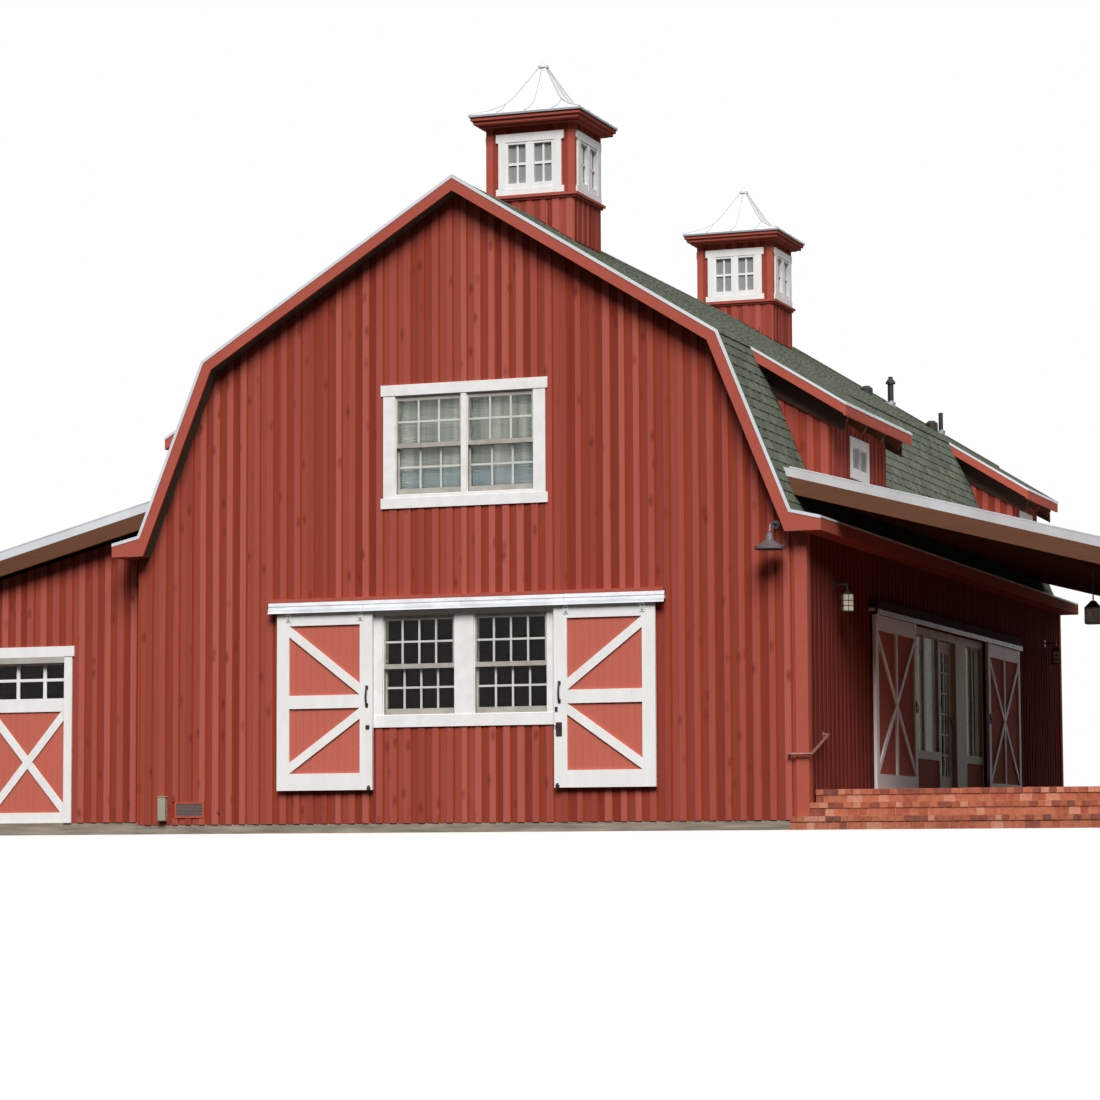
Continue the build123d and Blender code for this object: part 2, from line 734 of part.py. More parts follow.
with BuildPart() as porch_track:
    cover_y = (porch_leaves["front"] - porch_cover_overrun,
               porch_leaves["rear"] + porch_leaf_width + porch_cover_overrun)
    block((half_width, half_width + cover_reach), cover_y, (cover_top, cover_strip_top))
    block((half_width + cover_reach - cover_sheet, half_width + cover_reach), cover_y, (cover_bottom, cover_top))
    block(porch_rail_x, cover_y, (rail_bottom, rail_top))
    pitch = (cover_y[1] - cover_y[0] - bracket_width) / (porch_bracket_count - 1)
    for bracket in range(porch_bracket_count):
        y = cover_y[0] + bracket * pitch
        block((half_width, porch_rail_x[0]), (y, y + bracket_width), (rail_bottom, rail_top))
save(porch_track, "porch_door_track")

# Entry: a white frame with a glazed door, sidelights over boarded panels
entry_x = (half_width - entry_frame_depth, half_width)
entry_door_rear = entry_door_front + entry_door_width
door_opening = (entry_door_front - entry_door_gap, entry_door_rear + entry_door_gap)
entry_bays = ((doorway_front + entry_post, door_opening[0] - entry_post),
              (door_opening[1] + entry_blank_width, doorway_rear - entry_post))
entry_light_z = (entry_side_rail_top, doorway_top - entry_head)
hinge_x = entry_x[0] - hinge_radius
hinge_y = entry_door_front - entry_door_gap / 2
with BuildPart() as entry_frame:
    block(entry_x, (doorway_front, doorway_rear), (entry_sill_bottom, doorway_top))
    block(entry_x, door_opening, (entry_sill_top, doorway_top - entry_head), Mode.SUBTRACT)
    for bay in entry_bays:
        block(entry_x, bay, entry_light_z, Mode.SUBTRACT)
        middle = (bay[0] + bay[1]) / 2
        block((entry_x[0] + entry_mullion_setback, entry_x[1] - entry_mullion_setback),
              (middle - entry_mullion / 2, middle + entry_mullion / 2), entry_light_z)
        block((half_width - entry_panel_thickness, half_width), bay,
              (entry_sill_top + entry_side_foot, entry_side_rail_bottom), Mode.SUBTRACT)
    # the frame's plates and its two knuckles of each hinge
    for height in hinge_heights:
        hinge_half = 1.5 * hinge_knuckle + hinge_gap
        for knuckle in (height - hinge_half, height + hinge_half - hinge_knuckle):
            block((entry_x[0] - hinge_plate, entry_x[0]), (door_opening[0] - hinge_plate_width, hinge_y),
                  (knuckle, knuckle + hinge_knuckle))
            with Locations((hinge_x, hinge_y, knuckle)):
                Cylinder(hinge_radius, hinge_knuckle, align=upright)
save(entry_frame, "entry_frame")

door_x = (half_width - entry_frame_depth, half_width - entry_frame_depth + entry_door_thickness)
door_z = (entry_sill_top + entry_door_gap, doorway_top - entry_head - entry_door_gap)
lite_y = (entry_door_front + entry_door_stile, entry_door_rear - entry_door_stile)
lite_z = (door_z[0] + entry_light_bottom, door_z[1] - entry_light_top)
with BuildPart() as entry_door:
    block(door_x, (entry_door_front, entry_door_rear), door_z)
    block(door_x, lite_y, lite_z, Mode.SUBTRACT)
    for height in hinge_heights:
        middle_knuckle = (height - hinge_knuckle / 2, height + hinge_knuckle / 2)
        block((door_x[0] - hinge_plate, door_x[0]), (hinge_y, entry_door_front + hinge_plate_width), middle_knuckle)
        with Locations((hinge_x, hinge_y, middle_knuckle[0])):
            Cylinder(hinge_radius, hinge_knuckle, align=upright)
save(entry_door, "entry_door")

with BuildPart() as entry_door_glass:
    middle = (door_x[0] + door_x[1]) / 2
    block((middle - glass_thickness / 2, middle + glass_thickness / 2), lite_y, lite_z)
save(entry_door_glass, "entry_door_glass")


# Porch: metal roof springing from the steep slope, rafters, beam, posts and brick patio


def porch_z(x, depth=0.0):
    return porch_roof_height - side_roof_slope * (x - half_width) - depth


def meets_slope(height_at, depth):
    """Where a side roof's line, lowered by depth, meets the main roof's steep face."""
    gap = lower_x(height_at(half_width, depth), shingle_depth) - half_width
    x = half_width + gap / (1 - side_roof_slope / lower_slope)
    return (x, height_at(x, depth))


porch_edge_in = porch_roof_edge - metal_edge_thickness
with BuildPart() as porch_roof:
    section([meets_slope(porch_z, 0), (porch_roof_edge, porch_z(porch_roof_edge)),
             (porch_roof_edge, porch_z(porch_roof_edge, metal_roof_depth)), meets_slope(porch_z, metal_roof_depth)],
            (porch_front, porch_rear))
    edge = [meets_slope(porch_z, metal_roof_depth), (porch_roof_edge, porch_z(porch_roof_edge, metal_roof_depth)),
            (porch_roof_edge, porch_z(porch_roof_edge, metal_edge_depth)), meets_slope(porch_z, metal_edge_depth)]
    section(edge, (porch_front, porch_front + metal_edge_thickness))
    section(edge, (porch_rear - metal_edge_thickness, porch_rear))
    section([(porch_edge_in, porch_z(porch_edge_in, metal_roof_depth)),
             (porch_roof_edge, porch_z(porch_roof_edge, metal_roof_depth)),
             (porch_roof_edge, porch_z(porch_roof_edge, metal_edge_depth)),
             (porch_edge_in, porch_z(porch_edge_in, metal_edge_depth))], (porch_front, porch_rear))
save(porch_roof, "porch_roof")

rafter_bottom = metal_edge_depth + porch_rafter_depth

post_x = (porch_post_outer - porch_post_size, porch_post_outer)
beam_x = (porch_post_outer - (porch_post_size + porch_beam_width) / 2,
          porch_post_outer - (porch_post_size - porch_beam_width) / 2)
beam_bottom = porch_z(beam_x[1], rafter_bottom) - porch_beam_depth
with BuildPart() as porch_frame:
    section([(beam_x[0], beam_bottom), (beam_x[1], beam_bottom), (beam_x[1], porch_z(beam_x[1], rafter_bottom)),
             (beam_x[0], porch_z(beam_x[0], rafter_bottom))],
            (porch_front + porch_beam_inset, porch_rear - porch_beam_inset))
    step = (porch_rear - porch_front - 2 * porch_post_inset - porch_post_size) / (porch_post_count - 1)
    for index in range(porch_post_count):
        y = porch_front + porch_post_inset + index * step
        block(post_x, (y, y + porch_post_size), (patio_top, beam_bottom))
save(porch_frame, "porch_frame")

riser = patio_top / riser_count
patio_start = half_width + corner_board_thickness
with BuildPart() as patio:
    block((patio_start, patio_edge), (porch_front, porch_rear), (0, patio_top))
    block((patio_start, patio_edge), (porch_front - tread_depth, porch_front), (0, 2 * riser))
    step_y = (porch_front - 2 * tread_depth, porch_front - tread_depth)
    block((patio_start, patio_edge), step_y, (0, riser))
    block((bottom_step_start, patio_start), (step_y[0], -corner_board_thickness), (0, riser))
save(patio, "patio")


# Lean-to: walls round the garage doorway, and a metal roof


def lean_z(x, depth=0.0):
    return lean_to_roof_height - side_roof_slope * (x - half_width) - depth


lean_outer = lean_to_x
lean_roof_y = (lean_to_front - rake_overhang, lean_to_rear + rake_overhang)
lean_eave_x = lean_outer + lean_to_eave
garage_x = (-garage_right - garage_width, -garage_right)
eave_profile = [kick_at(shingle_depth), eave_at(shingle_depth, slab_end), (slab_end, eave_at(0)[1]),
                (eave_x, eave_at(0)[1]), (eave_x, wall_top), (half_width, wall_top)]
lean_gable = [(half_width, lean_to_floor_top), (lean_outer, lean_to_floor_top),
              (lean_outer, lean_z(lean_outer, rafter_bottom)), meets_slope(lean_z, rafter_bottom)] + eave_profile
with BuildPart() as lean_front:
    section(mirrored(lean_gable), (lean_to_front, lean_to_front + wall))
    block(garage_x, (lean_to_front, lean_to_front + wall), (lean_to_floor_top, garage_top), Mode.SUBTRACT)
save(lean_front, "lean_to_front_wall")

with BuildPart() as lean_side:
    section(mirrored(lean_gable), (lean_to_rear - wall, lean_to_rear))
    section(mirrored([(lean_outer - wall, lean_to_floor_top), (lean_outer, lean_to_floor_top),
                      (lean_outer, lean_z(lean_outer, rafter_bottom)),
                      (lean_outer - wall, lean_z(lean_outer - wall, rafter_bottom))]),
            (lean_to_front + wall, lean_to_rear - wall))
save(lean_side, "lean_to_walls")

lean_edge_in = lean_eave_x - metal_edge_thickness
with BuildPart() as lean_roof:
    section(mirrored([meets_slope(lean_z, 0), (lean_eave_x, lean_z(lean_eave_x)),
                      (lean_eave_x, lean_z(lean_eave_x, metal_roof_depth)), meets_slope(lean_z, metal_roof_depth)]),
            lean_roof_y)
    edge = [meets_slope(lean_z, metal_roof_depth), (lean_eave_x, lean_z(lean_eave_x, metal_roof_depth)),
            (lean_eave_x, lean_z(lean_eave_x, metal_edge_depth)), meets_slope(lean_z, metal_edge_depth)]
    section(mirrored(edge), (lean_roof_y[0], lean_roof_y[0] + metal_edge_thickness))
    section(mirrored(edge), (lean_roof_y[1] - metal_edge_thickness, lean_roof_y[1]))
    section(mirrored([(lean_edge_in, lean_z(lean_edge_in, metal_roof_depth)),
                      (lean_eave_x, lean_z(lean_eave_x, metal_roof_depth)),
                      (lean_eave_x, lean_z(lean_eave_x, metal_edge_depth)),
                      (lean_edge_in, lean_z(lean_edge_in, metal_edge_depth))]), lean_roof_y)
save(lean_roof, "lean_to_roof")

# Brown boards and rafters under both metal roofs
side_roofs = ((list, porch_z, porch_edge_in, porch_roof_edge - porch_rafter_setback, (porch_front, porch_rear)),
              (mirrored, lean_z, lean_edge_in, lean_edge_in, lean_roof_y))
with BuildPart() as side_roof_decks:
    for side, height_at, end_x, _, y in side_roofs:
        section(side([meets_slope(height_at, metal_roof_depth), (end_x, height_at(end_x, metal_roof_depth)),
                      (end_x, height_at(end_x, metal_edge_depth)), meets_slope(height_at, metal_edge_depth)]),
                (y[0] + metal_edge_thickness, y[1] - metal_edge_thickness))
save(side_roof_decks, "side_roof_decks")

with BuildPart() as side_roof_rafters:
    for side, height_at, _, end_x, span in side_roofs:
        rafter = [meets_slope(height_at, metal_edge_depth), (end_x, height_at(end_x, metal_edge_depth)),
                  (end_x, height_at(end_x, rafter_bottom)), meets_slope(height_at, rafter_bottom)]
        step = (span[1] - span[0] - porch_rafter_width) / (porch_rafter_count - 1)
        for index in range(porch_rafter_count):
            y = span[0] + index * step
            section(side(rafter), (y, y + porch_rafter_width))
save(side_roof_rafters, "side_roof_rafters")

# Garage door: boarded panels with crossed braces under a row of lights, shut and fixed
garage_y = (lean_to_front + garage_recess, lean_to_front + garage_recess + garage_frame)
garage_proud = (garage_y[0], garage_y[1] - garage_panel)
garage_middle = (garage_x[0] + garage_x[1]) / 2
garage_fields = ((garage_x[0] + garage_edge_stile, garage_middle - garage_stile / 2),
                 (garage_middle + garage_stile / 2, garage_x[1] - garage_edge_stile))
garage_field_bottom = lean_to_floor_top + garage_bottom_rail
garage_light_z = (garage_light_bottom, garage_light_top)
with BuildPart() as garage_door:
    block(garage_x, garage_y, (lean_to_floor_top, garage_top))
    for field in garage_fields:
        block(field, garage_proud, (garage_field_bottom, garage_field_top), Mode.SUBTRACT)
        block(field, garage_y, garage_light_z, Mode.SUBTRACT)
        low = garage_field_bottom + garage_brace
        high = garage_field_top - garage_brace
        brace((field[0], low), (field[1], high), garage_brace, garage_proud)
        brace((field[0], high), (field[1], low), garage_brace, garage_proud)
save(garage_door, "garage_door")

with BuildPart() as garage_trim:
    trim_y = (lean_to_front - casing_thickness, lean_to_front)
    head_bottom = garage_top + garage_head_gap
    block((garage_x[0] - garage_casing, garage_x[0]), trim_y, (lean_to_floor_top, head_bottom))
    block((garage_x[1], garage_x[1] + garage_casing), trim_y, (lean_to_floor_top, head_bottom))
    block(garage_x, trim_y, (garage_top, head_bottom))
    block((garage_x[0] - garage_casing - head_ear, garage_x[1] + garage_casing + head_ear),
          (lean_to_front - sill_thickness, lean_to_front), (head_bottom, head_bottom + head_height))
save(garage_trim, "garage_door_trim")


# Cupolas astride the ridge


def ring(half_x, half_y, centre, z, inner_x, inner_y):
    block((-half_x, half_x), (centre - half_y, centre + half_y), z)
    block((-inner_x, inner_x), (centre - inner_y, centre + inner_y), z, Mode.SUBTRACT)


with BuildPart() as cupola_bases:
    for centre in cupola_centres:
        foot = ridge_at(shingle_depth) - upper_slope * cupola_half_x
        ring(cupola_half_x, cupola_half_y, centre, (foot, cupola_ledge_bottom),
             cupola_half_x - cupola_wall, cupola_half_y - cupola_wall)
        cove_top = cupola_ledge_bottom + cupola_ledge_cove_height
        for reach, z in ((cupola_ledge_cove, (cupola_ledge_bottom, cove_top)),
                         (cupola_ledge_reach, (cove_top, cupola_ledge_top))):
            ring(cupola_half_x + reach, cupola_half_y + reach, centre, z,
                 cupola_half_x - cupola_wall, cupola_half_y - cupola_wall)
    section([(-cupola_half_x, foot), (cupola_half_x, foot), (0, ridge_at(shingle_depth))],
            (0, house_length), Mode.SUBTRACT)
save(cupola_bases, "cupola_bases")

cupola_window_z = (cupola_window_bottom, cupola_window_top)
with BuildPart() as cupola_lanterns:
    for centre in cupola_centres:
        ring(cupola_half_x, cupola_half_y, centre, (cupola_ledge_top, cupola_top),
             cupola_half_x - cupola_wall, cupola_half_y - cupola_wall)
        block((-cupola_window_half, cupola_window_half), (centre - cupola_half_y, centre + cupola_half_y),
              cupola_window_z, Mode.SUBTRACT)
        block((-cupola_half_x, cupola_half_x), (centre - cupola_window_half, centre + cupola_window_half),
              cupola_window_z, Mode.SUBTRACT)
save(cupola_lanterns, "cupola_lanterns")

cupola_lights = [(side * cupola_light_post, side * (cupola_window_half - cupola_light_stile)) for side in (-1, 1)]
cupola_light_z = (cupola_window_bottom + cupola_light_foot, cupola_window_top - cupola_light_stile)
with BuildPart() as cupola_windows:
    for centre in cupola_centres:
        for side in (-1, 1):
            face_y = centre + side * cupola_half_y
            face_x = side * cupola_half_x
            out_y = face_y + side * casing_thickness
            out_x = face_x + side * casing_thickness
            half = cupola_window_half + cupola_casing
            block((-half, half), (face_y, out_y), cupola_window_z)
            block((face_x, out_x), (centre - half, centre + half), cupola_window_z)
            for z in ((cupola_window_bottom - cupola_head_height, cupola_window_bottom),
                      (cupola_window_top, cupola_window_top + cupola_head_height)):
                block((-half - cupola_head_ear, half + cupola_head_ear), (face_y, out_y), z)
                block((face_x, out_x), (centre - half - cupola_head_ear, centre + half + cupola_head_ear), z)
            block((-cupola_window_half, cupola_window_half), (face_y - side * cupola_frame_depth, face_y),
                  cupola_window_z)
            block((face_x - side * cupola_frame_depth, face_x),
                  (centre - cupola_window_half, centre + cupola_window_half), cupola_window_z)
            for light in cupola_lights:
                block(light, (out_y, face_y - side * cupola_frame_depth), cupola_light_z, Mode.SUBTRACT)
                block((out_x, face_x - side * cupola_frame_depth), (centre + light[0], centre + light[1]),
                      cupola_light_z, Mode.SUBTRACT)
save(cupola_windows, "cupola_windows")

with BuildPart() as cupola_cornices:
    for centre in cupola_centres:
        low = cupola_top
        for reach, height in zip(cornice_reaches, cornice_heights):
            block((-cupola_half_x - reach, cupola_half_x + reach),
                  (centre - cupola_half_y - reach, centre + cupola_half_y + reach), (low, low + height))
            low += height
save(cupola_cornices, "cupola_cornices")

with BuildPart() as cupola_roofs:
    reach_x = cupola_half_x + cupola_roof_reach_x
    reach_y = cupola_half_y + cupola_roof_reach_y
    bell = [(cupola_top + sum(cornice_heights) + rise, share) for rise, share in cupola_roof_profile]
    right = [(share * reach_x, z) for z, share in bell]
    section(mirrored(right) + right[::-1], (cupola_centres[0] - reach_y, cupola_centres[1] + reach_y))
    with BuildSketch(Plane.YZ.offset(-reach_x)) as bells:
        for centre in cupola_centres:
            with BuildLine():
                Polyline(*[(centre - share * reach_y, z) for z, share in bell],
                         *[(centre + share * reach_y, z) for z, share in bell[::-1]], close=True)
            make_face()
    extrude(bells.sketch, amount=2 * reach_x, mode=Mode.INTERSECT)
    cap_bottom = bell[-1][0]
    cap_top = cap_bottom + finial_cap_height
    for centre in cupola_centres:
        with Locations((0, centre, cap_bottom)):
            Cylinder(finial_cap, finial_cap_height, align=upright)
        with Locations((0, centre, cap_top)):
            Cone(finial_foot, finial_point, finial_height - finial_cap_height,
                 align=upright)
save(cupola_roofs, "cupola_roofs")


# Shed dormers, which carry the upper slope on over the side walls


def dormer_z(x, depth=0.0):
    return ridge_height - upper_slope * x - depth


def dormer_meets_slope(depth):
    """Where the dormer roof's line, lowered by depth, meets the steep face."""
    base = lower_slope * lower_x(0, shingle_depth)
    x = (base - ridge_height + depth) / (lower_slope - upper_slope)
    return (x, dormer_z(x, depth))


dormer_roof_end = dormer_eave_x - dormer_fascia_thickness
dormer_front_in = dormer_wall_x - dormer_wall
with BuildPart() as dormer_walls:
    for side, sign, roof_below in ((mirrored, -1, lean_z), (list, 1, porch_z)):
        cheek_profile = [dormer_meets_slope(dormer_roof_depth),
                         (dormer_wall_x, dormer_z(dormer_wall_x, dormer_roof_depth)),
                         (dormer_wall_x, roof_below(dormer_wall_x)), meets_slope(roof_below, 0)]
        for cheek in dormer_cheeks:
            section(side(cheek_profile), cheek)
            hollow = (cheek[0] + dormer_wall, cheek[1] - dormer_wall)
            block((0, sign * dormer_front_in), hollow, (wall_top, break_z), Mode.SUBTRACT)
            centre = (cheek[0] + cheek[1]) / 2
            block((sign * dormer_front_in, sign * dormer_wall_x),
                  (centre - dormer_window_half, centre + dormer_window_half),
                  (dormer_window_bottom, dormer_window_top), Mode.SUBTRACT)
save(dormer_walls, "dormer_walls")

with BuildPart() as dormer_roofs:
    slab = [dormer_meets_slope(shingle_depth), (dormer_roof_end, dormer_z(dormer_roof_end, shingle_depth)),
            (dormer_roof_end, dormer_z(dormer_roof_end, dormer_roof_depth)), dormer_meets_slope(dormer_roof_depth)]
    for side in (mirrored, list):
        for cheek in dormer_cheeks:
            section(side(slab), (cheek[0] - dormer_rake + dormer_fascia_thickness,
                                 cheek[1] + dormer_rake - dormer_fascia_thickness))
save(dormer_roofs, "dormer_roofs")

with BuildPart() as dormer_fascias:
    rake = [dormer_meets_slope(0), (dormer_eave_x, dormer_z(dormer_eave_x)),
            (dormer_eave_x, dormer_z(dormer_eave_x, dormer_fascia_depth)), dormer_meets_slope(dormer_fascia_depth)]
    for side, sign in ((mirrored, -1), (list, 1)):
        for cheek in dormer_cheeks:
            span = (cheek[0] - dormer_rake, cheek[1] + dormer_rake)
            section(side(rake), (span[0], span[0] + dormer_fascia_thickness))
            section(side(rake), (span[1] - dormer_fascia_thickness, span[1]))
            block((sign * dormer_roof_end, sign * dormer_eave_x), span,
                  (dormer_z(dormer_eave_x, dormer_fascia_depth), dormer_z(dormer_eave_x)))
save(dormer_fascias, "dormer_fascias")

with BuildPart() as rafter_tails:
    tail_x = (dormer_wall_x, dormer_wall_x + rafter_tail_reach)
    tail = [(tail_x[0], dormer_z(tail_x[0], dormer_roof_depth)), (tail_x[1], dormer_z(tail_x[1], dormer_roof_depth)),
            (tail_x[1], dormer_z(tail_x[1], dormer_roof_depth + rafter_tail_nose)),
            (tail_x[1] - rafter_tail_cut, dormer_z(tail_x[1], dormer_roof_depth + rafter_tail_depth)),
            (tail_x[0], dormer_z(tail_x[0], dormer_roof_depth + rafter_tail_depth))]
    for side in (mirrored, list):
        for cheek in dormer_cheeks:
            length = cheek[1] - cheek[0] - rafter_tail_width
            count = max(2, round(length / rafter_tail_spacing) + 1)
            for index in range(count):
                y = cheek[0] + index * length / (count - 1)
                section(side(tail), (y, y + rafter_tail_width))
save(rafter_tails, "dormer_rafter_tails")

dormer_lights = [(side * dormer_light_post, side * (dormer_window_half - dormer_light_edge)) for side in (-1, 1)]
dormer_light_z = (dormer_window_bottom + dormer_light_edge, dormer_window_top - dormer_light_edge)
with BuildPart() as dormer_windows:
    for sign in (-1, 1):
        for cheek in dormer_cheeks:
            centre = (cheek[0] + cheek[1]) / 2
            half = dormer_window_half + dormer_casing
            face = sign * dormer_wall_x
            back = sign * (dormer_wall_x - dormer_frame_depth)
            block((face, face + sign * casing_thickness), (centre - half, centre + half),
                  (dormer_window_bottom - dormer_casing, dormer_window_top + dormer_head_height))
            block((back, face), (centre - dormer_window_half, centre + dormer_window_half),
                  (dormer_window_bottom, dormer_window_top))
            for light in dormer_lights:
                block((back, face + sign * casing_thickness), (centre + light[0], centre + light[1]),
                      dormer_light_z, Mode.SUBTRACT)
save(dormer_windows, "dormer_windows")

# Fixed glass of every window, sidelight and door light
with BuildPart() as window_glass:
    for face, inward in gable_faces:
        for unit, unit_z, meeting in gable_units:
            for x, light_z, setback in sash_lights(unit, unit_z, meeting):
                pane = face + inward * (sash_recess + setback + sash_depth / 2)
                block(x, (pane, pane + inward * glass_thickness), light_z)
    sidelight_x = half_width - entry_frame_depth / 2
    for bay in entry_bays:
        middle = (bay[0] + bay[1]) / 2
        for y in ((bay[0], middle - entry_mullion / 2), (middle + entry_mullion / 2, bay[1])):
            block((sidelight_x, sidelight_x + glass_thickness), y, entry_light_z)
    for field in garage_fields:
        block(field, (garage_proud[1], garage_proud[1] + glass_thickness), garage_light_z)
    for centre in cupola_centres:
        for side in (-1, 1):
            pane_y = centre + side * (cupola_half_y - cupola_frame_depth / 2)
            pane_x = side * (cupola_half_x - cupola_frame_depth / 2)
            for light in cupola_lights:
                block(light, (pane_y, pane_y + side * glass_thickness), cupola_light_z)
                block((pane_x, pane_x + side * glass_thickness), (centre + light[0], centre + light[1]),
                      cupola_light_z)
    for side in (-1, 1):
        pane_x = side * (dormer_wall_x - dormer_frame_depth / 2)
        for cheek in dormer_cheeks:
            centre = (cheek[0] + cheek[1]) / 2
            for light in dormer_lights:
                block((pane_x, pane_x + side * glass_thickness), (centre + light[0], centre + light[1]),
                      dormer_light_z)
save(window_glass, "window_glass")

# Vent pipes and round vents on the roof near the rear gable, the first pipe under a conical cap
with BuildPart() as roof_vents:
    for x, inset, height, radius in vent_pipes + round_vents:
        y = house_length - inset
        top = ridge_at(shingle_depth) - upper_slope * x + height
        foot = ridge_at(shingle_depth) - upper_slope * (x + radius)
        crown = round_vent_crown if (x, inset, height, radius) in round_vents else 0
        with Locations((x, y, foot)):
            Cylinder(radius, top - crown - foot, align=upright)
        if crown:
            with Locations((x, y, top - crown)):
                Cone(radius, round_vent_top, crown, align=upright)
        elif (x, inset, height, radius) == vent_pipes[0]:
            with Locations((x, y, top)):
                Cylinder(vent_cap_brim, vent_cap_brim_height, align=upright)
            with Locations((x, y, top + vent_cap_brim_height)):
                Cone(vent_cap_brim, vent_cap_top, vent_cap_cone, align=upright)
            with Locations((x, y, top + vent_cap_brim_height + vent_cap_cone)):
                Cylinder(vent_cap_top, vent_cap_brim_height, align=upright)
    section([(0, ridge_at(shingle_depth)), break_at(shingle_depth), (0, break_z)], (0, house_length), Mode.SUBTRACT)
save(roof_vents, "roof_vents")

# Barn lamp on a curved arm beside the front corner
shade_profile = [(0, lamp_cap_top), (lamp_cap_radius, lamp_cap_top), (lamp_neck_radius, lamp_neck_top),
                 (lamp_radius, lamp_lip), (lamp_radius, 0), (lamp_radius - lamp_shell, 0),
                 (lamp_neck_radius, lamp_neck_bottom), (0, lamp_core_bottom)]
with BuildPart() as barn_lamp:
    with BuildSketch(Plane(origin=(lamp_x, -lamp_reach, lamp_rim), x_dir=(1, 0, 0), z_dir=(0, -1, 0))) as shade:
        with BuildLine():
            Polyline(*shade_profile, close=True)
        make_face()
    revolve(shade.sketch, axis=Axis((lamp_x, -lamp_reach, 0), (0, 0, 1)))
    with BuildLine() as arm:
        Polyline((lamp_x, -lamp_reach, lamp_rim + lamp_cap_top),
                 (lamp_x, -lamp_reach, lamp_arm_top - lamp_arm_bend),
                 (lamp_x, -lamp_reach + lamp_arm_ease, lamp_arm_top - lamp_arm_ease),
                 (lamp_x, -lamp_reach + lamp_arm_bend, lamp_arm_top), (lamp_x, 0, lamp_arm_top))
    with BuildSketch(Plane(origin=arm.line @ 0, z_dir=arm.line % 0)) as tube:
        RegularPolygon(lamp_arm_radius, round_sides)
    sweep(tube.sketch, path=arm.line, transition=Transition.RIGHT)
    with Locations(Plane(origin=(lamp_x, 0, lamp_arm_top), z_dir=(0, -1, 0))):
        Cylinder(lamp_plate_radius, lamp_plate_thickness, align=upright)
save(barn_lamp, "barn_lamp")

# Wall rail beside the steps
with BuildPart() as step_handrail:
    rail_x = half_width + rail_standoff
    rail_z = (rail_height_low, rail_height_low + rail_rise)
    with BuildLine() as route:
        Polyline((rail_start_x, 0, rail_z[0]), (rail_start_x, -rail_standoff, rail_z[0]),
                 (rail_x, -rail_standoff, rail_z[0]), (rail_x, rail_end_y, rail_z[1]),
                 (half_width, rail_end_y, rail_z[1]))
    with BuildSketch(Plane(origin=route.line @ 0, z_dir=route.line % 0)) as tube:
        RegularPolygon(rail_radius, round_sides)
    sweep(tube.sketch, path=route.line, transition=Transition.RIGHT)
    for flange in (Plane(origin=(rail_start_x, 0, rail_z[0]), z_dir=(0, -1, 0)),
                   Plane(origin=(half_width, rail_end_y, rail_z[1]), z_dir=(1, 0, 0))):
        with Locations(flange):
            Cylinder(rail_flange_radius, rail_flange_thickness, align=upright)
save(step_handrail, "step_handrail")


# Lanterns: some hang from porch rafters, others from arms on the right wall


def lantern(centre, half, z, cap_top, turn=0.0):
    """Bottom and top plates held apart by four corner bars, under a tapered cap."""
    with Locations(Location((*centre, 0), (0, 0, turn))):
        block((-half, half), (-half, half), (z[0], z[0] + lantern_plate))
        block((-half, half), (-half, half), (z[1] - lantern_plate, z[1]))
        for bar_x in ((-half, lantern_bar - half), (half - lantern_bar, half)):
            for bar_y in ((-half, lantern_bar - half), (half - lantern_bar, half)):
                block(bar_x, bar_y, z)
    with BuildSketch(Plane.XY.offset(z[1])) as cap:
        with Locations(centre):
            Rectangle(2 * half, 2 * half, rotation=turn)
    extrude(cap.sketch, amount=cap_top - z[1], taper=lantern_cap_angle)


with BuildPart() as porch_lanterns:
    step = (porch_rear - porch_front - porch_rafter_width) / (porch_rafter_count - 1)
    for index in lantern_rafters:
        y = porch_front + porch_rafter_width / 2 + index * step
        lantern((lantern_x, y), lantern_half, (lantern_bottom, lantern_glass_top), lantern_cap_top)
        rod_top = porch_z(lantern_x + lantern_rod_radius, rafter_bottom)
        with Locations((lantern_x, y, lantern_cap_top)):
            Cylinder(lantern_rod_radius, rod_top - lantern_cap_top, align=upright)
save(porch_lanterns, "porch_lanterns")

with BuildPart() as wall_lanterns:
    for y in (wall_lantern_insets[0], house_length - wall_lantern_insets[1]):
        centre = (half_width + wall_lantern_reach, y)
        lantern(centre, wall_lantern_half, wall_lantern_z, wall_lantern_cap_top, wall_lantern_turn)
        arm_y = (y - wall_arm_width / 2, y + wall_arm_width / 2)
        block((half_width, centre[0] + wall_arm_width / 2), arm_y, wall_arm_z)
        block((centre[0] - wall_arm_width / 2, centre[0] + wall_arm_width / 2), arm_y,
              (wall_lantern_z[1], wall_arm_z[1]))
        block((half_width, half_width + lantern_plate), (y - wall_plate_half, y + wall_plate_half),
              (wall_lantern_cap_top, wall_arm_z[1] + wall_plate_half))
save(wall_lanterns, "wall_lanterns")

# Boxes on the front wall: a meter box and a louvred vent
with BuildPart() as meter_box:
    block([inset - half_width for inset in meter_box_insets], (-meter_box_depth, 0), meter_box_z)
save(meter_box, "meter_box")

with BuildPart() as wall_vent:
    block([inset - half_width for inset in wall_vent_insets], (-wall_vent_depth, 0), wall_vent_z)
save(wall_vent, "wall_vent")
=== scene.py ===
import math
import random

import bmesh
import bpy
from mathutils import Matrix, Vector


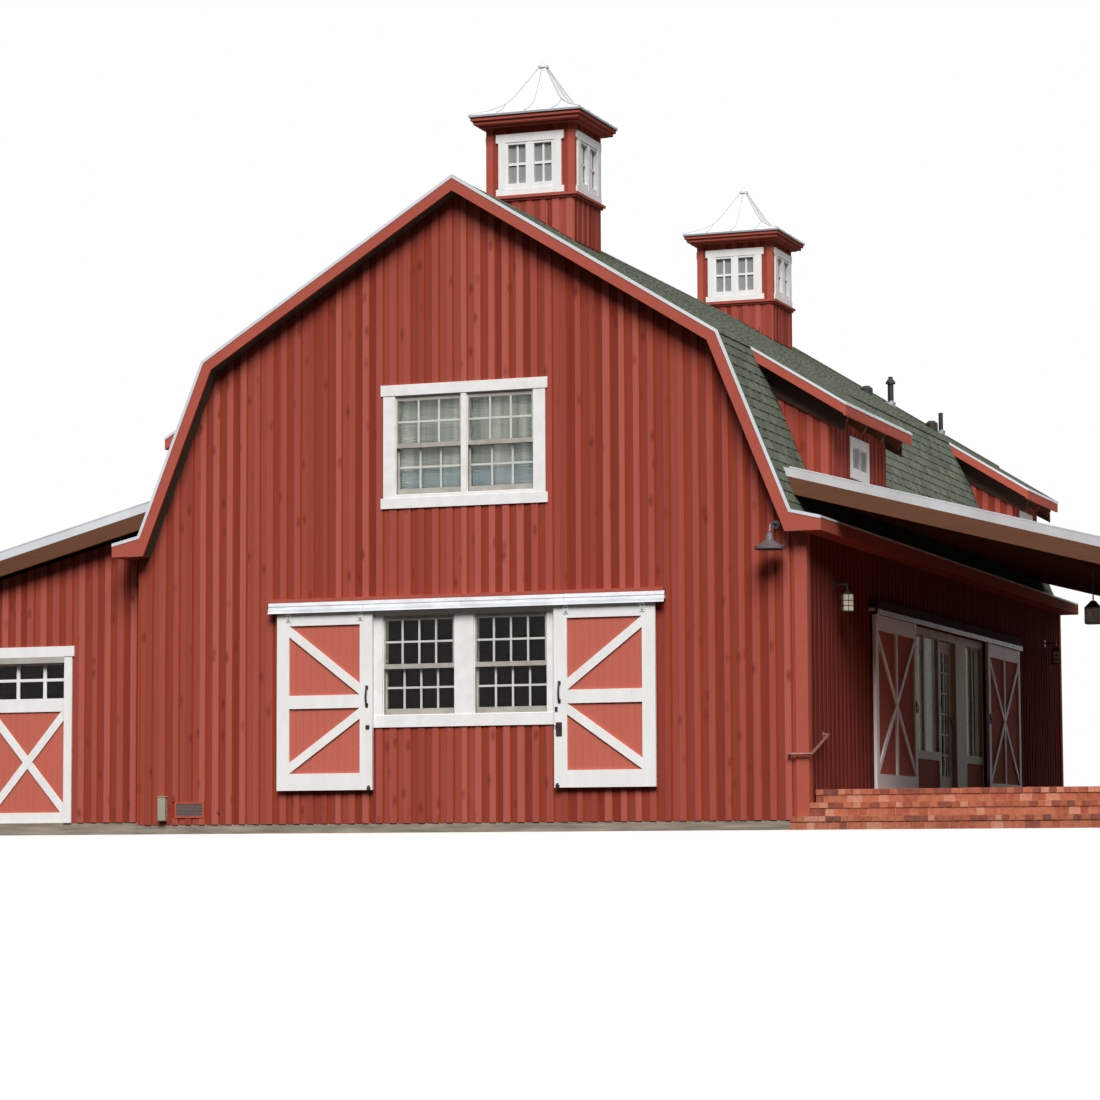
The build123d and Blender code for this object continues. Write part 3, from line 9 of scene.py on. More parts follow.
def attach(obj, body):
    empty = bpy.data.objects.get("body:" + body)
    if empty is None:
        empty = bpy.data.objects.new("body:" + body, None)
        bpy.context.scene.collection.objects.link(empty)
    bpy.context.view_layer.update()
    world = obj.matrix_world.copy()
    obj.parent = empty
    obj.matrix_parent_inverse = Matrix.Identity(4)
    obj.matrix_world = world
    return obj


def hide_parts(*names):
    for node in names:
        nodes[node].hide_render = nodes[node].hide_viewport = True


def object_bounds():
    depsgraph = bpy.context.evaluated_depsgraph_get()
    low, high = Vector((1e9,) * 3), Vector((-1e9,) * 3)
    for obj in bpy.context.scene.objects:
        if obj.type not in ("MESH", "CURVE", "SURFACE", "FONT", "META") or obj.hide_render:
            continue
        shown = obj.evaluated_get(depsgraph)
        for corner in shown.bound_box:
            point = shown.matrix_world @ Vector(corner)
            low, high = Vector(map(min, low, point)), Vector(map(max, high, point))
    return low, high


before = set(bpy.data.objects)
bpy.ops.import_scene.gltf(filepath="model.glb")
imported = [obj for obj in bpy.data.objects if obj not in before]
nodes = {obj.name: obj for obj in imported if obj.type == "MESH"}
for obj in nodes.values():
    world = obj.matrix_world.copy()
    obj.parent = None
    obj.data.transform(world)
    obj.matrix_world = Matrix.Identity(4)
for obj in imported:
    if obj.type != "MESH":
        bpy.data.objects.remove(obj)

cad_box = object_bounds()


# Camera: a long lens from the front right, held a little below the house's ground level and tilted
# up. Its line, roll and lens come from the edges of the roof and the walls.
CAMERA_PLACE = Vector((15.820, -39.416, -0.291))
CAMERA_YAW = math.radians(20.316)
CAMERA_PITCH = math.radians(5.233)
CAMERA_ROLL = math.radians(-0.256)
SENSOR = 36.0
LENS = 109.13
FAR_CLIP = 400.0


def placed(name, data):
    """Puts an object with this data into the scene."""
    made = bpy.data.objects.new(name, data)
    bpy.context.scene.collection.objects.link(made)
    return made


forward = Vector((-math.sin(CAMERA_YAW) * math.cos(CAMERA_PITCH),
                  math.cos(CAMERA_YAW) * math.cos(CAMERA_PITCH), math.sin(CAMERA_PITCH)))
level = Vector((math.cos(CAMERA_YAW), math.sin(CAMERA_YAW), 0.0))
upright = level.cross(forward)
side_axis = level * math.cos(CAMERA_ROLL) + upright * math.sin(CAMERA_ROLL)
up_axis = upright * math.cos(CAMERA_ROLL) - level * math.sin(CAMERA_ROLL)
camera_data = bpy.data.cameras.new("camera")
camera_data.sensor_width = SENSOR
camera_data.lens = LENS
camera_data.clip_end = FAR_CLIP
camera = placed("camera", camera_data)
camera.matrix_world = Matrix((
    (side_axis.x, up_axis.x, -forward.x, CAMERA_PLACE.x),
    (side_axis.y, up_axis.y, -forward.y, CAMERA_PLACE.y),
    (side_axis.z, up_axis.z, -forward.z, CAMERA_PLACE.z),
    (0.0, 0.0, 0.0, 1.0)))
bpy.context.scene.camera = camera
bpy.context.scene.view_settings.view_transform = "Standard"


# Daylight under thin cloud: a dome that is brighter overhead than at its edge, and one broad lamp
# from the front right that leaves the porch and the undersides in soft shade. The camera and
# mirror-like surfaces see plain white.
DOME_COLOUR = "#F2F5FA"
DOME_EDGE, DOME_OVERHEAD = 0.02, 1.08
SUN_STRENGTH = 3.50
SUN_SOFTNESS = math.radians(30)
SUN_TURN = (math.radians(46), 0.0, math.radians(20))


def paint(code):
    """Linear colour of an sRGB hex code."""
    channels = [int(code[i:i + 2], 16) / 255 for i in (1, 3, 5)]
    return tuple(c / 12.92 if c <= 0.04045 else ((c + 0.055) / 1.055) ** 2.4 for c in channels) + (1.0,)


def add(tree, kind, *values, **named):
    """Adds a node and gives its first output in use. values fill its inputs in order; names with a
    capital are inputs too, the others are the node's settings, and a colour code is made linear."""
    made = tree.nodes.new("ShaderNode" + kind)
    inputs = dict(enumerate(values))
    for key, value in named.items():
        if key[0].isupper():
            inputs[key.replace("_", " ")] = value
        else:
            setattr(made, key, value)
    for key, value in inputs.items():
        if isinstance(value, bpy.types.NodeSocket):
            tree.links.new(value, made.inputs[key])
        else:
            made.inputs[key].default_value = paint(value) if isinstance(value, str) else value
    return next((socket for socket in made.outputs if socket.enabled), None)


world = bpy.data.worlds.new("daylight")
world.use_nodes = True
bpy.context.scene.world = world
sky = world.node_tree
sky.nodes.clear()
rays = add(sky, "LightPath").node.outputs
seen = add(sky, "Math", rays["Is Camera Ray"], rays["Is Transmission Ray"], operation="MAXIMUM")
seen = add(sky, "Math", seen, rays["Is Glossy Ray"], operation="MAXIMUM")
way = add(sky, "TexCoord").node.outputs["Generated"]
height = add(sky, "SeparateXYZ", way).node.outputs["Z"]
strength = add(sky, "MapRange", height, From_Min=0.30, From_Max=0.85, To_Min=DOME_EDGE,
               To_Max=DOME_OVERHEAD, interpolation_type="SMOOTHSTEP")
dome = add(sky, "Background", Color=DOME_COLOUR, Strength=strength)
plain = add(sky, "Background", Color=(1.0, 1.0, 1.0, 1.0), Strength=1.0)
both = add(sky, "MixShader", seen, dome, plain)
add(sky, "OutputWorld", Surface=both)

sun_data = bpy.data.lights.new("cloud_light", "SUN")
sun_data.energy = SUN_STRENGTH
sun_data.angle = SUN_SOFTNESS
sun = placed("cloud_light", sun_data)
sun.rotation_euler = SUN_TURN


# Studio floor: flat under and just round the house, then falling gently away on every side, so that
# the low camera sees the foot of the walls. It is pale to the eye and throws back less light.
FLOOR_MARGIN = 0.55
FLOOR_FALL = 0.048
FLOOR_REACH = 90.0
FLOOR_RINGS = 40
STEP_FRONT = -0.28
floor_low = (cad_box[0].x - FLOOR_MARGIN, STEP_FRONT - FLOOR_MARGIN)
floor_high = (cad_box[1].x + FLOOR_MARGIN, cad_box[1].y + FLOOR_MARGIN)


def material(name, colour="#808080", rough=0.6, metallic=0.0, **sockets):
    """A principled material by its plain values; returns it with its tree and its shader."""
    made = bpy.data.materials.new(name)
    made.use_nodes = True
    tree = made.node_tree
    shader = tree.nodes["Principled BSDF"]
    shader.inputs["Base Color"].default_value = paint(colour)
    shader.inputs["Roughness"].default_value = rough
    shader.inputs["Metallic"].default_value = metallic
    for key, value in sockets.items():
        shader.inputs[key.replace("_", " ")].default_value = value
    return made, tree, shader


def wire(shader, **sockets):
    """Links outputs to a shader's inputs by their names."""
    for key, value in sockets.items():
        shader.id_data.links.new(value, shader.inputs[key.replace("_", " ")])


def mesh_piece(name, verts, faces, materials, picks=None):
    """A mesh object at the origin. picks gives each face's material number."""
    data = bpy.data.meshes.new(name)
    data.from_pydata([tuple(v) for v in verts], [], faces)
    for m in materials:
        data.materials.append(m)
    if picks:
        data.polygons.foreach_set("material_index", picks)
    data.update()
    return placed(name, data)


floor_paint, tree, shader = material("studio_floor", "#E4E3E0", 0.9, Specular_IOR_Level=0.0)
eye = add(tree, "LightPath").node.outputs
direct = add(tree, "Math", eye["Is Camera Ray"], eye["Is Transmission Ray"], operation="MAXIMUM")
tone = add(tree, "Mix", direct, A="#44423E", B="#E4E3E0", data_type="RGBA")
wire(shader, Base_Color=tone)
ground = []
ground_faces = []
corners = ((floor_low[0], floor_low[1]), (floor_high[0], floor_low[1]),
           (floor_high[0], floor_high[1]), (floor_low[0], floor_high[1]))
outward = ((-1, -1), (1, -1), (1, 1), (-1, 1))
for ring in range(FLOOR_RINGS):
    reach = FLOOR_REACH * (ring / (FLOOR_RINGS - 1)) ** 2
    for (x, y), (ox, oy) in zip(corners, outward):
        ground.append((x + ox * reach, y + oy * reach, -FLOOR_FALL * reach))
ground_faces.append((0, 1, 2, 3))
for ring in range(FLOOR_RINGS - 1):
    for i in range(4):
        a, b = ring * 4 + i, ring * 4 + (i + 1) % 4
        ground_faces.append((a, a + 4, b + 4, b))
studio_floor = mesh_piece("studio_floor", ground, ground_faces, [floor_paint])


# Foundation: cast concrete, shuttered with boards, bare where it shows under the walls. The board
# lines, pale laitance and small pits stay on its face.
def dress(names, finish):
    """Gives CAD nodes their finish."""
    for name in names:
        nodes[name].data.materials.clear()
        nodes[name].data.materials.append(finish)


def mottled(name, light, dark, rough, patch, grain, relief, limits=(0.3, 0.7), stretch=(1.0, 1.0, 1.0),
            metallic=0.0, shine=0.05):
    """Patches of two tones over a fine grain. patch is (scale, detail, roughness), grain (scale,
    detail), relief (strength, depth), and limits are where the noise is all dark and all light."""
    made, tree, shader = material(name, light, rough, metallic, Specular_IOR_Level=shine)
    place = add(tree, "TexCoord").node.outputs["Object"]
    run = add(tree, "Mapping", place, Scale=stretch)
    broad = add(tree, "TexNoise", run, Scale=patch[0], Detail=patch[1], Roughness=patch[2])
    amount = add(tree, "MapRange", broad, From_Min=limits[0], From_Max=limits[1])
    tone = add(tree, "Mix", amount, A=dark, B=light, data_type="RGBA")
    fine = add(tree, "TexNoise", place, Scale=grain[0], Detail=grain[1])
    bump = add(tree, "Bump", Height=fine, Strength=relief[0], Distance=relief[1])
    wire(shader, Base_Color=tone, Normal=bump)
    return made


concrete = mottled("cast_concrete", "#A89C8B", "#7A7064", 0.9, (2.2, 8.0, 0.5), (60.0, 4.0), (0.4, 0.003),
                   stretch=(0.8, 0.8, 9.0))
dress(["foundation"], concrete)


# Siding: rough-sawn cedar boards, nailed upright, narrow proud boards over recessed ones, in an
# opaque red stain. Each pitch is one channel in shadow, one recessed board and one proud board.
PITCH = 0.1945
PROUD_WIDTH = 0.088
CHANNEL_WIDTH = 0.022
PROUD_DEPTH = 0.015
BOARD_DEPTH = 0.007
BOARD_EDGE = 0.002


def stained_wood(name, light, dark, streak=(14.0, 14.0, 0.8), knots=False, rough=0.82, share=0.45):
    """Stained wood with long grain. streak is the grain's frequency along x, y and z, per metre."""
    made, tree, shader = material(name, light, rough, Specular_IOR_Level=0.04)
    place = add(tree, "TexCoord").node.outputs["Object"]
    run = add(tree, "Mapping", place, Scale=streak)
    grain = add(tree, "TexNoise", run, Scale=3.0, Detail=6.0, Roughness=0.62)
    broad = add(tree, "TexNoise", run, Scale=0.55, Detail=3.0)
    amount = add(tree, "Math", grain, broad, operation="ADD")
    amount = add(tree, "Math", amount, share, 0.5 - share, operation="MULTIPLY_ADD")
    tone = add(tree, "Mix", amount, A=dark, B=light, data_type="RGBA", clamp_factor=True)
    if knots:
        cells = add(tree, "Mapping", place, Scale=(5.4, 5.4, 2.3))
        spot = add(tree, "TexVoronoi", cells, Scale=1.0)
        ring = add(tree, "MapRange", spot, From_Min=0.06, From_Max=0.24, To_Min=0.62, To_Max=0.0)
        tone = add(tree, "Mix", ring, A=tone, B="#6E2A1E", data_type="RGBA")
    relief = add(tree, "Bump", Height=grain, Strength=0.35, Distance=0.002)
    wire(shader, Base_Color=tone, Normal=relief)
    return made


# The recessed boards are stained darker than the proud ones: part weathering, part painted shade.
RED = [stained_wood("red_cedar_proud_pale", "#BD675B", "#A44E43", knots=True),
       stained_wood("red_cedar_proud", "#B25A4E", "#98463B", knots=True),
       stained_wood("red_cedar_proud_deep", "#A64F43", "#8A3B31", knots=True),
       stained_wood("red_cedar_recessed_pale", "#AA5444", "#8E4035", knots=True),
       stained_wood("red_cedar_recessed", "#9E4839", "#82362B", knots=True),
       stained_wood("red_cedar_recessed_deep", "#944033", "#772E25", knots=True)]
TONE_SHARE = (3, 4, 2)
# The channels' wall face is stained darker and more orange than the boards: painted shade and painted bounce light in
# the recesses.
channel_shade_stain = stained_wood("red_cedar_channel_painted_shade", "#AC441E", "#8A3112")
# The wall under the porch roof gets darker copies of the stain: painted shade.
SHADED_RED = ([stained_wood("painted_shade_cedar_proud", "#8A4035", "#70322A")] * 3
             + [stained_wood("painted_shade_cedar_recessed", "#74342A", "#5C2720")] * 3)
painted_shade_channel = stained_wood("painted_shade_cedar_channel", "#642616", "#4C1C10")

RIDGE_Z, BREAK_X, BREAK_Z = 8.420, 3.550, 6.195
KICK_X, KICK_Z, EAVE_X, EAVE_Z = 4.468, 3.920, 4.850, 3.830
UPPER_SLOPE = (RIDGE_Z - BREAK_Z) / BREAK_X
LOWER_SLOPE = (BREAK_Z - KICK_Z) / (KICK_X - BREAK_X)
KICK_SLOPE = (KICK_Z - EAVE_Z) / (EAVE_X - KICK_X)
HALF, LENGTH = 4.572, 15.240
WALL_FOOT, WALL_TOP, ROOF_DEPTH = 0.127, 3.655, 0.150
PORCH_TOP, LEAN_TOP, SIDE_SLOPE = 4.424, 4.364, 0.2638
RAFTER_BOTTOM = 0.315
LEAN_X, LEAN_Y = 8.839, (0.300, 14.940)
DORMER_X, DORMER_END, DORMER_SLAB, DORMER_EDGE = 4.500, 4.800, 0.100, 0.032
DORMER_CHEEKS = ((1.440, 4.264), (12.226, 13.927))
DORMER_TOP = RIDGE_Z - UPPER_SLOPE * DORMER_X - DORMER_SLAB
DORMER_WINDOW = (DORMER_TOP - 0.810, DORMER_TOP - 0.450)
CUPOLAS = (3.140, 12.600)
CUPOLA_X, CUPOLA_Y = 0.636, 0.530
LEDGE, LANTERN_TOP = (8.625, 8.690), 9.655
CUPOLA_WINDOW = (8.790, 9.462)


def slope_at(x):
    """Height of the upper slope's plane at x."""
    return RIDGE_Z - UPPER_SLOPE * abs(x)


def roof_under(x, depth):
    """Height of the roof at x, so far below its outer surface, measured square to it."""
    x = abs(x)
    upper = slope_at(x) - depth * math.hypot(1, UPPER_SLOPE)
    lower = BREAK_Z + (BREAK_X - x) * LOWER_SLOPE - depth * math.hypot(1, LOWER_SLOPE)
    return min(upper, lower)


def side_roof(x, top, depth=0.0):
    """Height of a metal side roof at x, so far below its top."""
    return top - SIDE_SLOPE * (abs(x) - HALF) - depth


def boards(name, solids, materials, bevel=0.0, hides=(), body="house"):
    """One piece from straight-run solids: (axis, outline across it, start, end, material number)."""
    made_mesh = bmesh.new()
    for axis, outline, start, end, pick in solids:
        place, count = "xyz".index(axis), len(outline)
        rings = [[made_mesh.verts.new((u, v)[:place] + (at,) + (u, v)[place:]) for u, v in outline]
                 for at in (start, end)]
        sides = [(rings[0][i], rings[0][(i + 1) % count], rings[1][(i + 1) % count], rings[1][i])
                 for i in range(count)]
        for loop in rings + sides:
            made_mesh.faces.new(loop).material_index = pick
    bmesh.ops.recalc_face_normals(made_mesh, faces=made_mesh.faces)
    data = bpy.data.meshes.new(name)
    made_mesh.to_mesh(data)
    made_mesh.free()
    for finish in materials:
        data.materials.append(finish)
    made = placed(name, data)
    if bevel:
        eased = made.modifiers.new("eased_edges", "BEVEL")
        eased.width = bevel
        eased.segments = 1
        eased.limit_method = "ANGLE"
    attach(made, body)
    if hides:
        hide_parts(*hides)


def plank(x, y, z, pick=0):
    """A squared board between pairs of coordinates."""
    return ("z", ((x[0], y[0]), (x[1], y[0]), (x[1], y[1]), (x[0], y[1])), z[0], z[1], pick)


def pair(sign, near, far, base=0.0):
    """Two places on one side of base, the lower first."""
    return sorted((base + sign * near, base + sign * far))


def about(middle, half):
    """Two places, the same way off on both sides of a middle."""
    return middle - half, middle + half


def at_height(z):
    """A level foot or top for siding."""
    return lambda u: z


def siding(along, face, out, span, phase, foot, top, gaps=(), seed=1, proud=1.0):
    """Upright boards on one wall. along is the wall's axis, face its plane, out its outward sign.
    foot and top give the height at a place on the wall, gaps are (start, end, low, high), and proud
    is the share of the full board thickness."""
    chance = random.Random(seed)
    strips = []
    k = math.floor((span[0] - phase) / PITCH) - 1
    while phase + k * PITCH < span[1]:
        line = phase + k * PITCH
        k += 1
        step = line + PITCH - CHANNEL_WIDTH / 2 - PROUD_WIDTH + chance.uniform(-0.012, 0.012)
        strips.append((line + CHANNEL_WIDTH / 2, step, BOARD_DEPTH, 1))
        strips.append((step, line + PITCH - CHANNEL_WIDTH / 2, PROUD_DEPTH, 0))
    solids = []
    for a, b, depth, pick in strips:
        a, b = max(a + chance.uniform(-0.002, 0.002), span[0]), min(b, span[1])
        depth = (depth + chance.uniform(-0.001, 0.001)) * proud
        tone = pick * 3 + chance.choices(range(3), TONE_SHARE)[0]
        if b - a < 0.004:
            continue
        tall = max(top(a), top(b))
        pieces = [(-1.0, 100.0)]
        for start, end, low, high in gaps:
            if b > start and a < end:
                pieces = [cut for below, above in pieces
                          for cut in ((below, min(above, low)), (max(below, high), above)) if cut[1] > cut[0]]
        for below, above in pieces:
            lows = [max(foot(a), below), max(foot(b), below)]
            highs = [min(top(a), above), min(top(b), above)]
            highs = [max(high, low) for high, low in zip(highs, lows)]
            if max(high - low for high, low in zip(highs, lows)) < 0.02 or min(lows) > tall:
                continue
            near, far = sorted((face, face + out * depth))
            outline = [(a, lows[0]), (b, lows[1]), (b, highs[1] + 0.0005), (a, highs[0] + 0.0005)]
            solids.append(("y" if along == "x" else "x", outline, near, far, tone))
    return solids


UPPER_UNITS, UPPER_Z = ((-0.896, 0.0265), (0.0935, 1.016)), (4.335, 5.636)
LOWER_UNITS, LOWER_Z = ((-1.069, -0.069), (0.189, 1.189)), (1.500, 2.800)
VENT_X, VENT_Z = (-4.028, -3.602), (0.217, 0.428)
GARAGE_X, GARAGE_HEAD = (-8.277, -5.839), 2.316
GABLE_GAPS = [(UPPER_UNITS[0][0], UPPER_UNITS[1][1], *UPPER_Z)] + [(*unit, *LOWER_Z) for unit in LOWER_UNITS]
VENT_GAP = (*VENT_X, *VENT_Z)
DOORWAY = (5.220, 9.580, 0.0, 2.850)


def gable_top(u):
    return roof_under(u, ROOF_DEPTH - 0.004) if abs(u) < 4.416 else WALL_TOP


def lean_top(u):
    return WALL_TOP if abs(u) < EAVE_X else side_roof(u, LEAN_TOP, RAFTER_BOTTOM)


foot, top = at_height(WALL_FOOT), at_height(WALL_TOP)
boards("front_siding", siding("x", 0.0, -1, (-HALF, HALF), -0.085, foot, gable_top, GABLE_GAPS + [VENT_GAP], 2),
       RED, BOARD_EDGE)
boards("rear_siding", siding("x", LENGTH, 1, (-HALF, HALF), -0.085, foot, gable_top, GABLE_GAPS, 3),
       RED, BOARD_EDGE)
boards("right_siding", siding("y", HALF, 1, (0.0, LENGTH), 0.05, foot, top, [DOORWAY], 5),
       SHADED_RED, BOARD_EDGE)
boards("left_siding", siding("y", -HALF, -1, (0.0, LEAN_Y[0]), 0.05, foot, top, seed=6)
       + siding("y", -HALF, -1, (LEAN_Y[1], LENGTH), 0.05, foot, top, seed=7),
       RED, BOARD_EDGE)
foot, top, span = at_height(0.170), at_height(side_roof(LEAN_X, LEAN_TOP, RAFTER_BOTTOM)), (-LEAN_X, -HALF)
boards("lean_to_siding",
       siding("x", LEAN_Y[0], -1, span, -6.694, foot, lean_top, [(*GARAGE_X, 0.0, GARAGE_HEAD)], 8)
       + siding("x", LEAN_Y[1], 1, span, -6.694, foot, lean_top, seed=9)
       + siding("y", -LEAN_X, -1, LEAN_Y, 0.05, foot, top, seed=10), RED, BOARD_EDGE)

dormer_boards = []
for side, base in ((-1, LEAN_TOP), (1, PORCH_TOP)):
    for index, (a, b) in enumerate(DORMER_CHEEKS):
        opening = [(*about((a + b) / 2, 0.375), *DORMER_WINDOW)]
        dormer_boards += siding("y", side * DORMER_X, side, (a, b), a, at_height(side_roof(DORMER_X, base)),
                                at_height(DORMER_TOP), opening, 30 + index)
        for cheek, out in ((a, -1), (b, 1)):
            dormer_boards += siding("x", cheek, out, pair(side, 3.5, DORMER_X), side * DORMER_X,
                                    lambda u, base=base: max(roof_under(u, 0.0), side_roof(u, base)),
                                    lambda u: slope_at(u) - DORMER_SLAB, seed=40 + index)
boards("dormer_siding", dormer_boards, RED, BOARD_EDGE)

cupola_boards = []
for index, middle in enumerate(CUPOLAS):
    for out in (-1, 1):
        faces = (("x", middle + out * CUPOLA_Y, (-CUPOLA_X, CUPOLA_X), 0.04, slope_at),
                 ("y", out * CUPOLA_X, about(middle, CUPOLA_Y), middle + 0.04, at_height(slope_at(CUPOLA_X))))
        for number, (along, face, span, phase, foot) in enumerate(faces):
            cupola_boards += siding(along, face, out, span, phase, foot, at_height(LEDGE[0]),
                                    seed=50 + 10 * number + index)
            cupola_boards += siding(along, face, out, span, phase, at_height(LEDGE[1]), at_height(LANTERN_TOP),
                                    [(*span, LEDGE[1], CUPOLA_WINDOW[1] + 0.085)], 70 + 10 * number + index, 0.5)
boards("cupola_siding", cupola_boards, RED, BOARD_EDGE)
dress(["front_wall", "rear_wall", "left_wall", "lean_to_front_wall", "lean_to_walls", "dormer_walls"], channel_shade_stain)
dress(["right_wall_front", "right_wall_rear", "right_wall_header"], painted_shade_channel)


# Inside floors: plain fir boards, clear-finished, seen only through the doors and windows. The grain
# runs along the house.
floor_boards = stained_wood("plain_floor_boards", "#9A7A58", "#6F5338", streak=(9.0, 1.0, 9.0), rough=0.5)
dress(["ground_floor", "upper_floor"], floor_boards)


# Red trim: planed boards at the corners, rakes, eaves and cornices, in the same stain as the walls.
# The cupolas have corner boards and a frieze of their own, nailed over the siding.
trim_stain = stained_wood("red_stained_trim", "#BC6253", "#A24C3E", streak=(2.5, 2.5, 2.5), rough=0.7, share=0.5)
dark_trim = stained_wood("red_stained_trim_dark", "#BA6256", "#A24E43", streak=(4.0, 4.0, 4.0), rough=0.7)
dress(["rake_boards", "eave_boards", "dormer_fascias", "eave_soffits"], trim_stain)
dress(["cupola_cornices", "cupola_bases"], dark_trim)

CORNER_WIDTH, CORNER_THICK = 0.135, 0.028
corners = []
for side, y, inward in ((1, 0.0, 1), (1, LENGTH, -1), (-1, LENGTH, -1)):
    corners.append(plank(pair(side, HALF - CORNER_WIDTH, HALF + CORNER_THICK), pair(-inward, 0.0, CORNER_THICK, y),
                         (WALL_FOOT, WALL_TOP)))
    corners.append(plank(pair(side, HALF, HALF + CORNER_THICK), pair(inward, 0.0, CORNER_WIDTH, y),
                         (WALL_FOOT, WALL_TOP)))
boards("corner_trim", corners, [trim_stain], 0.003, ["corner_boards"])

lantern_paint, tree, shader = material("lantern_stain_and_lining", "#A9503F", 0.75, Specular_IOR_Level=0.05)
place = add(tree, "TexCoord").node.outputs["Object"]
split = add(tree, "SeparateXYZ", place).node
across = add(tree, "Math", split.outputs[0], operation="ABSOLUTE")
along = add(tree, "Math", split.outputs[1], sum(CUPOLAS) / 2, operation="SUBTRACT")
along = add(tree, "Math", along, operation="ABSOLUTE")
along = add(tree, "Math", along, (CUPOLAS[1] - CUPOLAS[0]) / 2, operation="SUBTRACT")
along = add(tree, "Math", along, operation="ABSOLUTE")
within = add(tree, "Math", across, CUPOLA_X - 0.030, operation="LESS_THAN")
within_too = add(tree, "Math", along, CUPOLA_Y - 0.030, operation="LESS_THAN")
lining = add(tree, "Math", within, within_too, operation="MULTIPLY")
grain = add(tree, "TexNoise", place, Scale=30.0, Detail=5.0)
stain = add(tree, "Mix", grain, A="#8A382D", B="#A34C40", data_type="RGBA")
primer = add(tree, "Mix", grain, A="#8E8D87", B="#A9A8A2", data_type="RGBA")
tone = add(tree, "Mix", lining, A=stain, B=primer, data_type="RGBA")
relief = add(tree, "Bump", Height=grain, Strength=0.3, Distance=0.001)
wire(shader, Base_Color=tone, Normal=relief)
dress(["cupola_lanterns"], lantern_paint)

CUPOLA_BOARD, BOARD_PROUD, TIER_BACK = 0.092, 0.010, 0.080
TIERS = ((0.161, 0.222, (9.732, 9.789)), (0.130, 0.190, (9.684, 9.732)))
cupola_trim = []
for middle in CUPOLAS:
    for side in (-1, 1):
        for end in (-1, 1):
            cupola_trim.append(plank(pair(side, CUPOLA_X - CUPOLA_BOARD, CUPOLA_X + BOARD_PROUD),
                                     pair(end, CUPOLA_Y, CUPOLA_Y + BOARD_PROUD, middle), (LEDGE[1], LANTERN_TOP)))
            cupola_trim.append(plank(pair(side, CUPOLA_X, CUPOLA_X + BOARD_PROUD),
                                     pair(end, CUPOLA_Y - CUPOLA_BOARD, CUPOLA_Y, middle), (LEDGE[1], LANTERN_TOP)))
        for reach_x, reach_y, z in TIERS:
            cupola_trim.append(plank(about(0.0, CUPOLA_X + reach_x),
                                     pair(side, CUPOLA_Y + TIER_BACK, CUPOLA_Y + reach_y, middle), z, 1))
            cupola_trim.append(plank(pair(side, CUPOLA_X + TIER_BACK, CUPOLA_X + reach_x),
                                     about(middle, CUPOLA_Y + TIER_BACK), z, 1))
boards("cupola_corner_boards", cupola_trim, [trim_stain, dark_trim], BOARD_EDGE)


# Roof shingles: mineral-faced asphalt, laid in courses with random thicker tabs, grey green. The
# upper slope's courses stand out a little over the steep slope, and caps cover the ridge.
EXPOSURE = 0.143
BUTT = 0.009
TAB = 0.006
DORMER_FOOT = 4.440


def granules(name, light, dark):
    """Mineral granules on asphalt in one shade."""
    return mottled(name, light, dark, 0.95, (45.0, 3.0, 0.5), (220.0, 2.0), (0.5, 0.002), (0.2, 0.8))


SHADES = [granules("shingle_pale", "#727869", "#666C5E"), granules("shingle_grey_green", "#6A7062", "#5E6457"),
          granules("shingle_dark", "#62685B", "#545A4F")]
SHADE_SHARE = (3, 5, 3)
shingle_skin = SHADES[1]
dress(["roof_left_upper", "roof_right_upper", "roof_left_lower", "roof_right_lower", "dormer_roofs"], shingle_skin)

ROOF_Y = (-0.235, LENGTH + 0.235)
DORMER_RAKE = 0.290
SLAB = 0.015


def shingle_slope(skin, foot, head, span, side, chance, skip=(), thick=1.0):
    """Courses from foot up to head, both (x, z) on the slab's top, over a span of y but its skips. thick
    is the share of the full butt and tab, and skin holds the vertices, faces and material numbers."""
    verts, faces, picks = skin
    run = Vector((head[0] - foot[0], head[1] - foot[1]))
    slope = run.normalized()
    normal = Vector((-slope.y, slope.x))
    if normal.y < 0:
        normal = -normal
    count = max(1, round(run.length / EXPOSURE))
    step = run.length / count
    for i in range(count):
        low = Vector(foot) + slope * (i * step)
        high = Vector(foot) + slope * ((i + 1) * step)
        spans = [span]
        if skip and low.y > DORMER_FOOT:
            edges = [span[0]] + [edge for gap in skip for edge in gap] + [span[1]]
            spans = zip(edges[::2], edges[1::2])
        for a, b in spans:
            y = a
            raised = chance.random() < 0.5
            while y < b:
                width = chance.uniform(0.09, 0.24) if raised else chance.uniform(0.06, 0.18)
                end = min(y + width, b)
                butt = (BUTT + (TAB if raised else 0.0)) * thick
                top = 0.002 + (TAB if raised else 0.0) * 0.4 * thick
                corners = []
                for point, lift in ((low, 0.0), (high, 0.0), (high, top), (low, butt)):
                    spot = point + normal * lift
                    corners.append((side * spot.x, spot.y))
                first = len(verts)
                for place_y in (y, end):
                    verts += [(x, place_y, z) for x, z in corners]
                faces += [(first + 3, first + 2, first + 6, first + 7), (first, first + 3, first + 7, first + 4),
                          (first, first + 1, first + 2, first + 3), (first + 4, first + 7, first + 6, first + 5)]
                picks += [chance.choices(range(3), SHADE_SHARE)[0]] * 4
                y = end
                raised = not raised


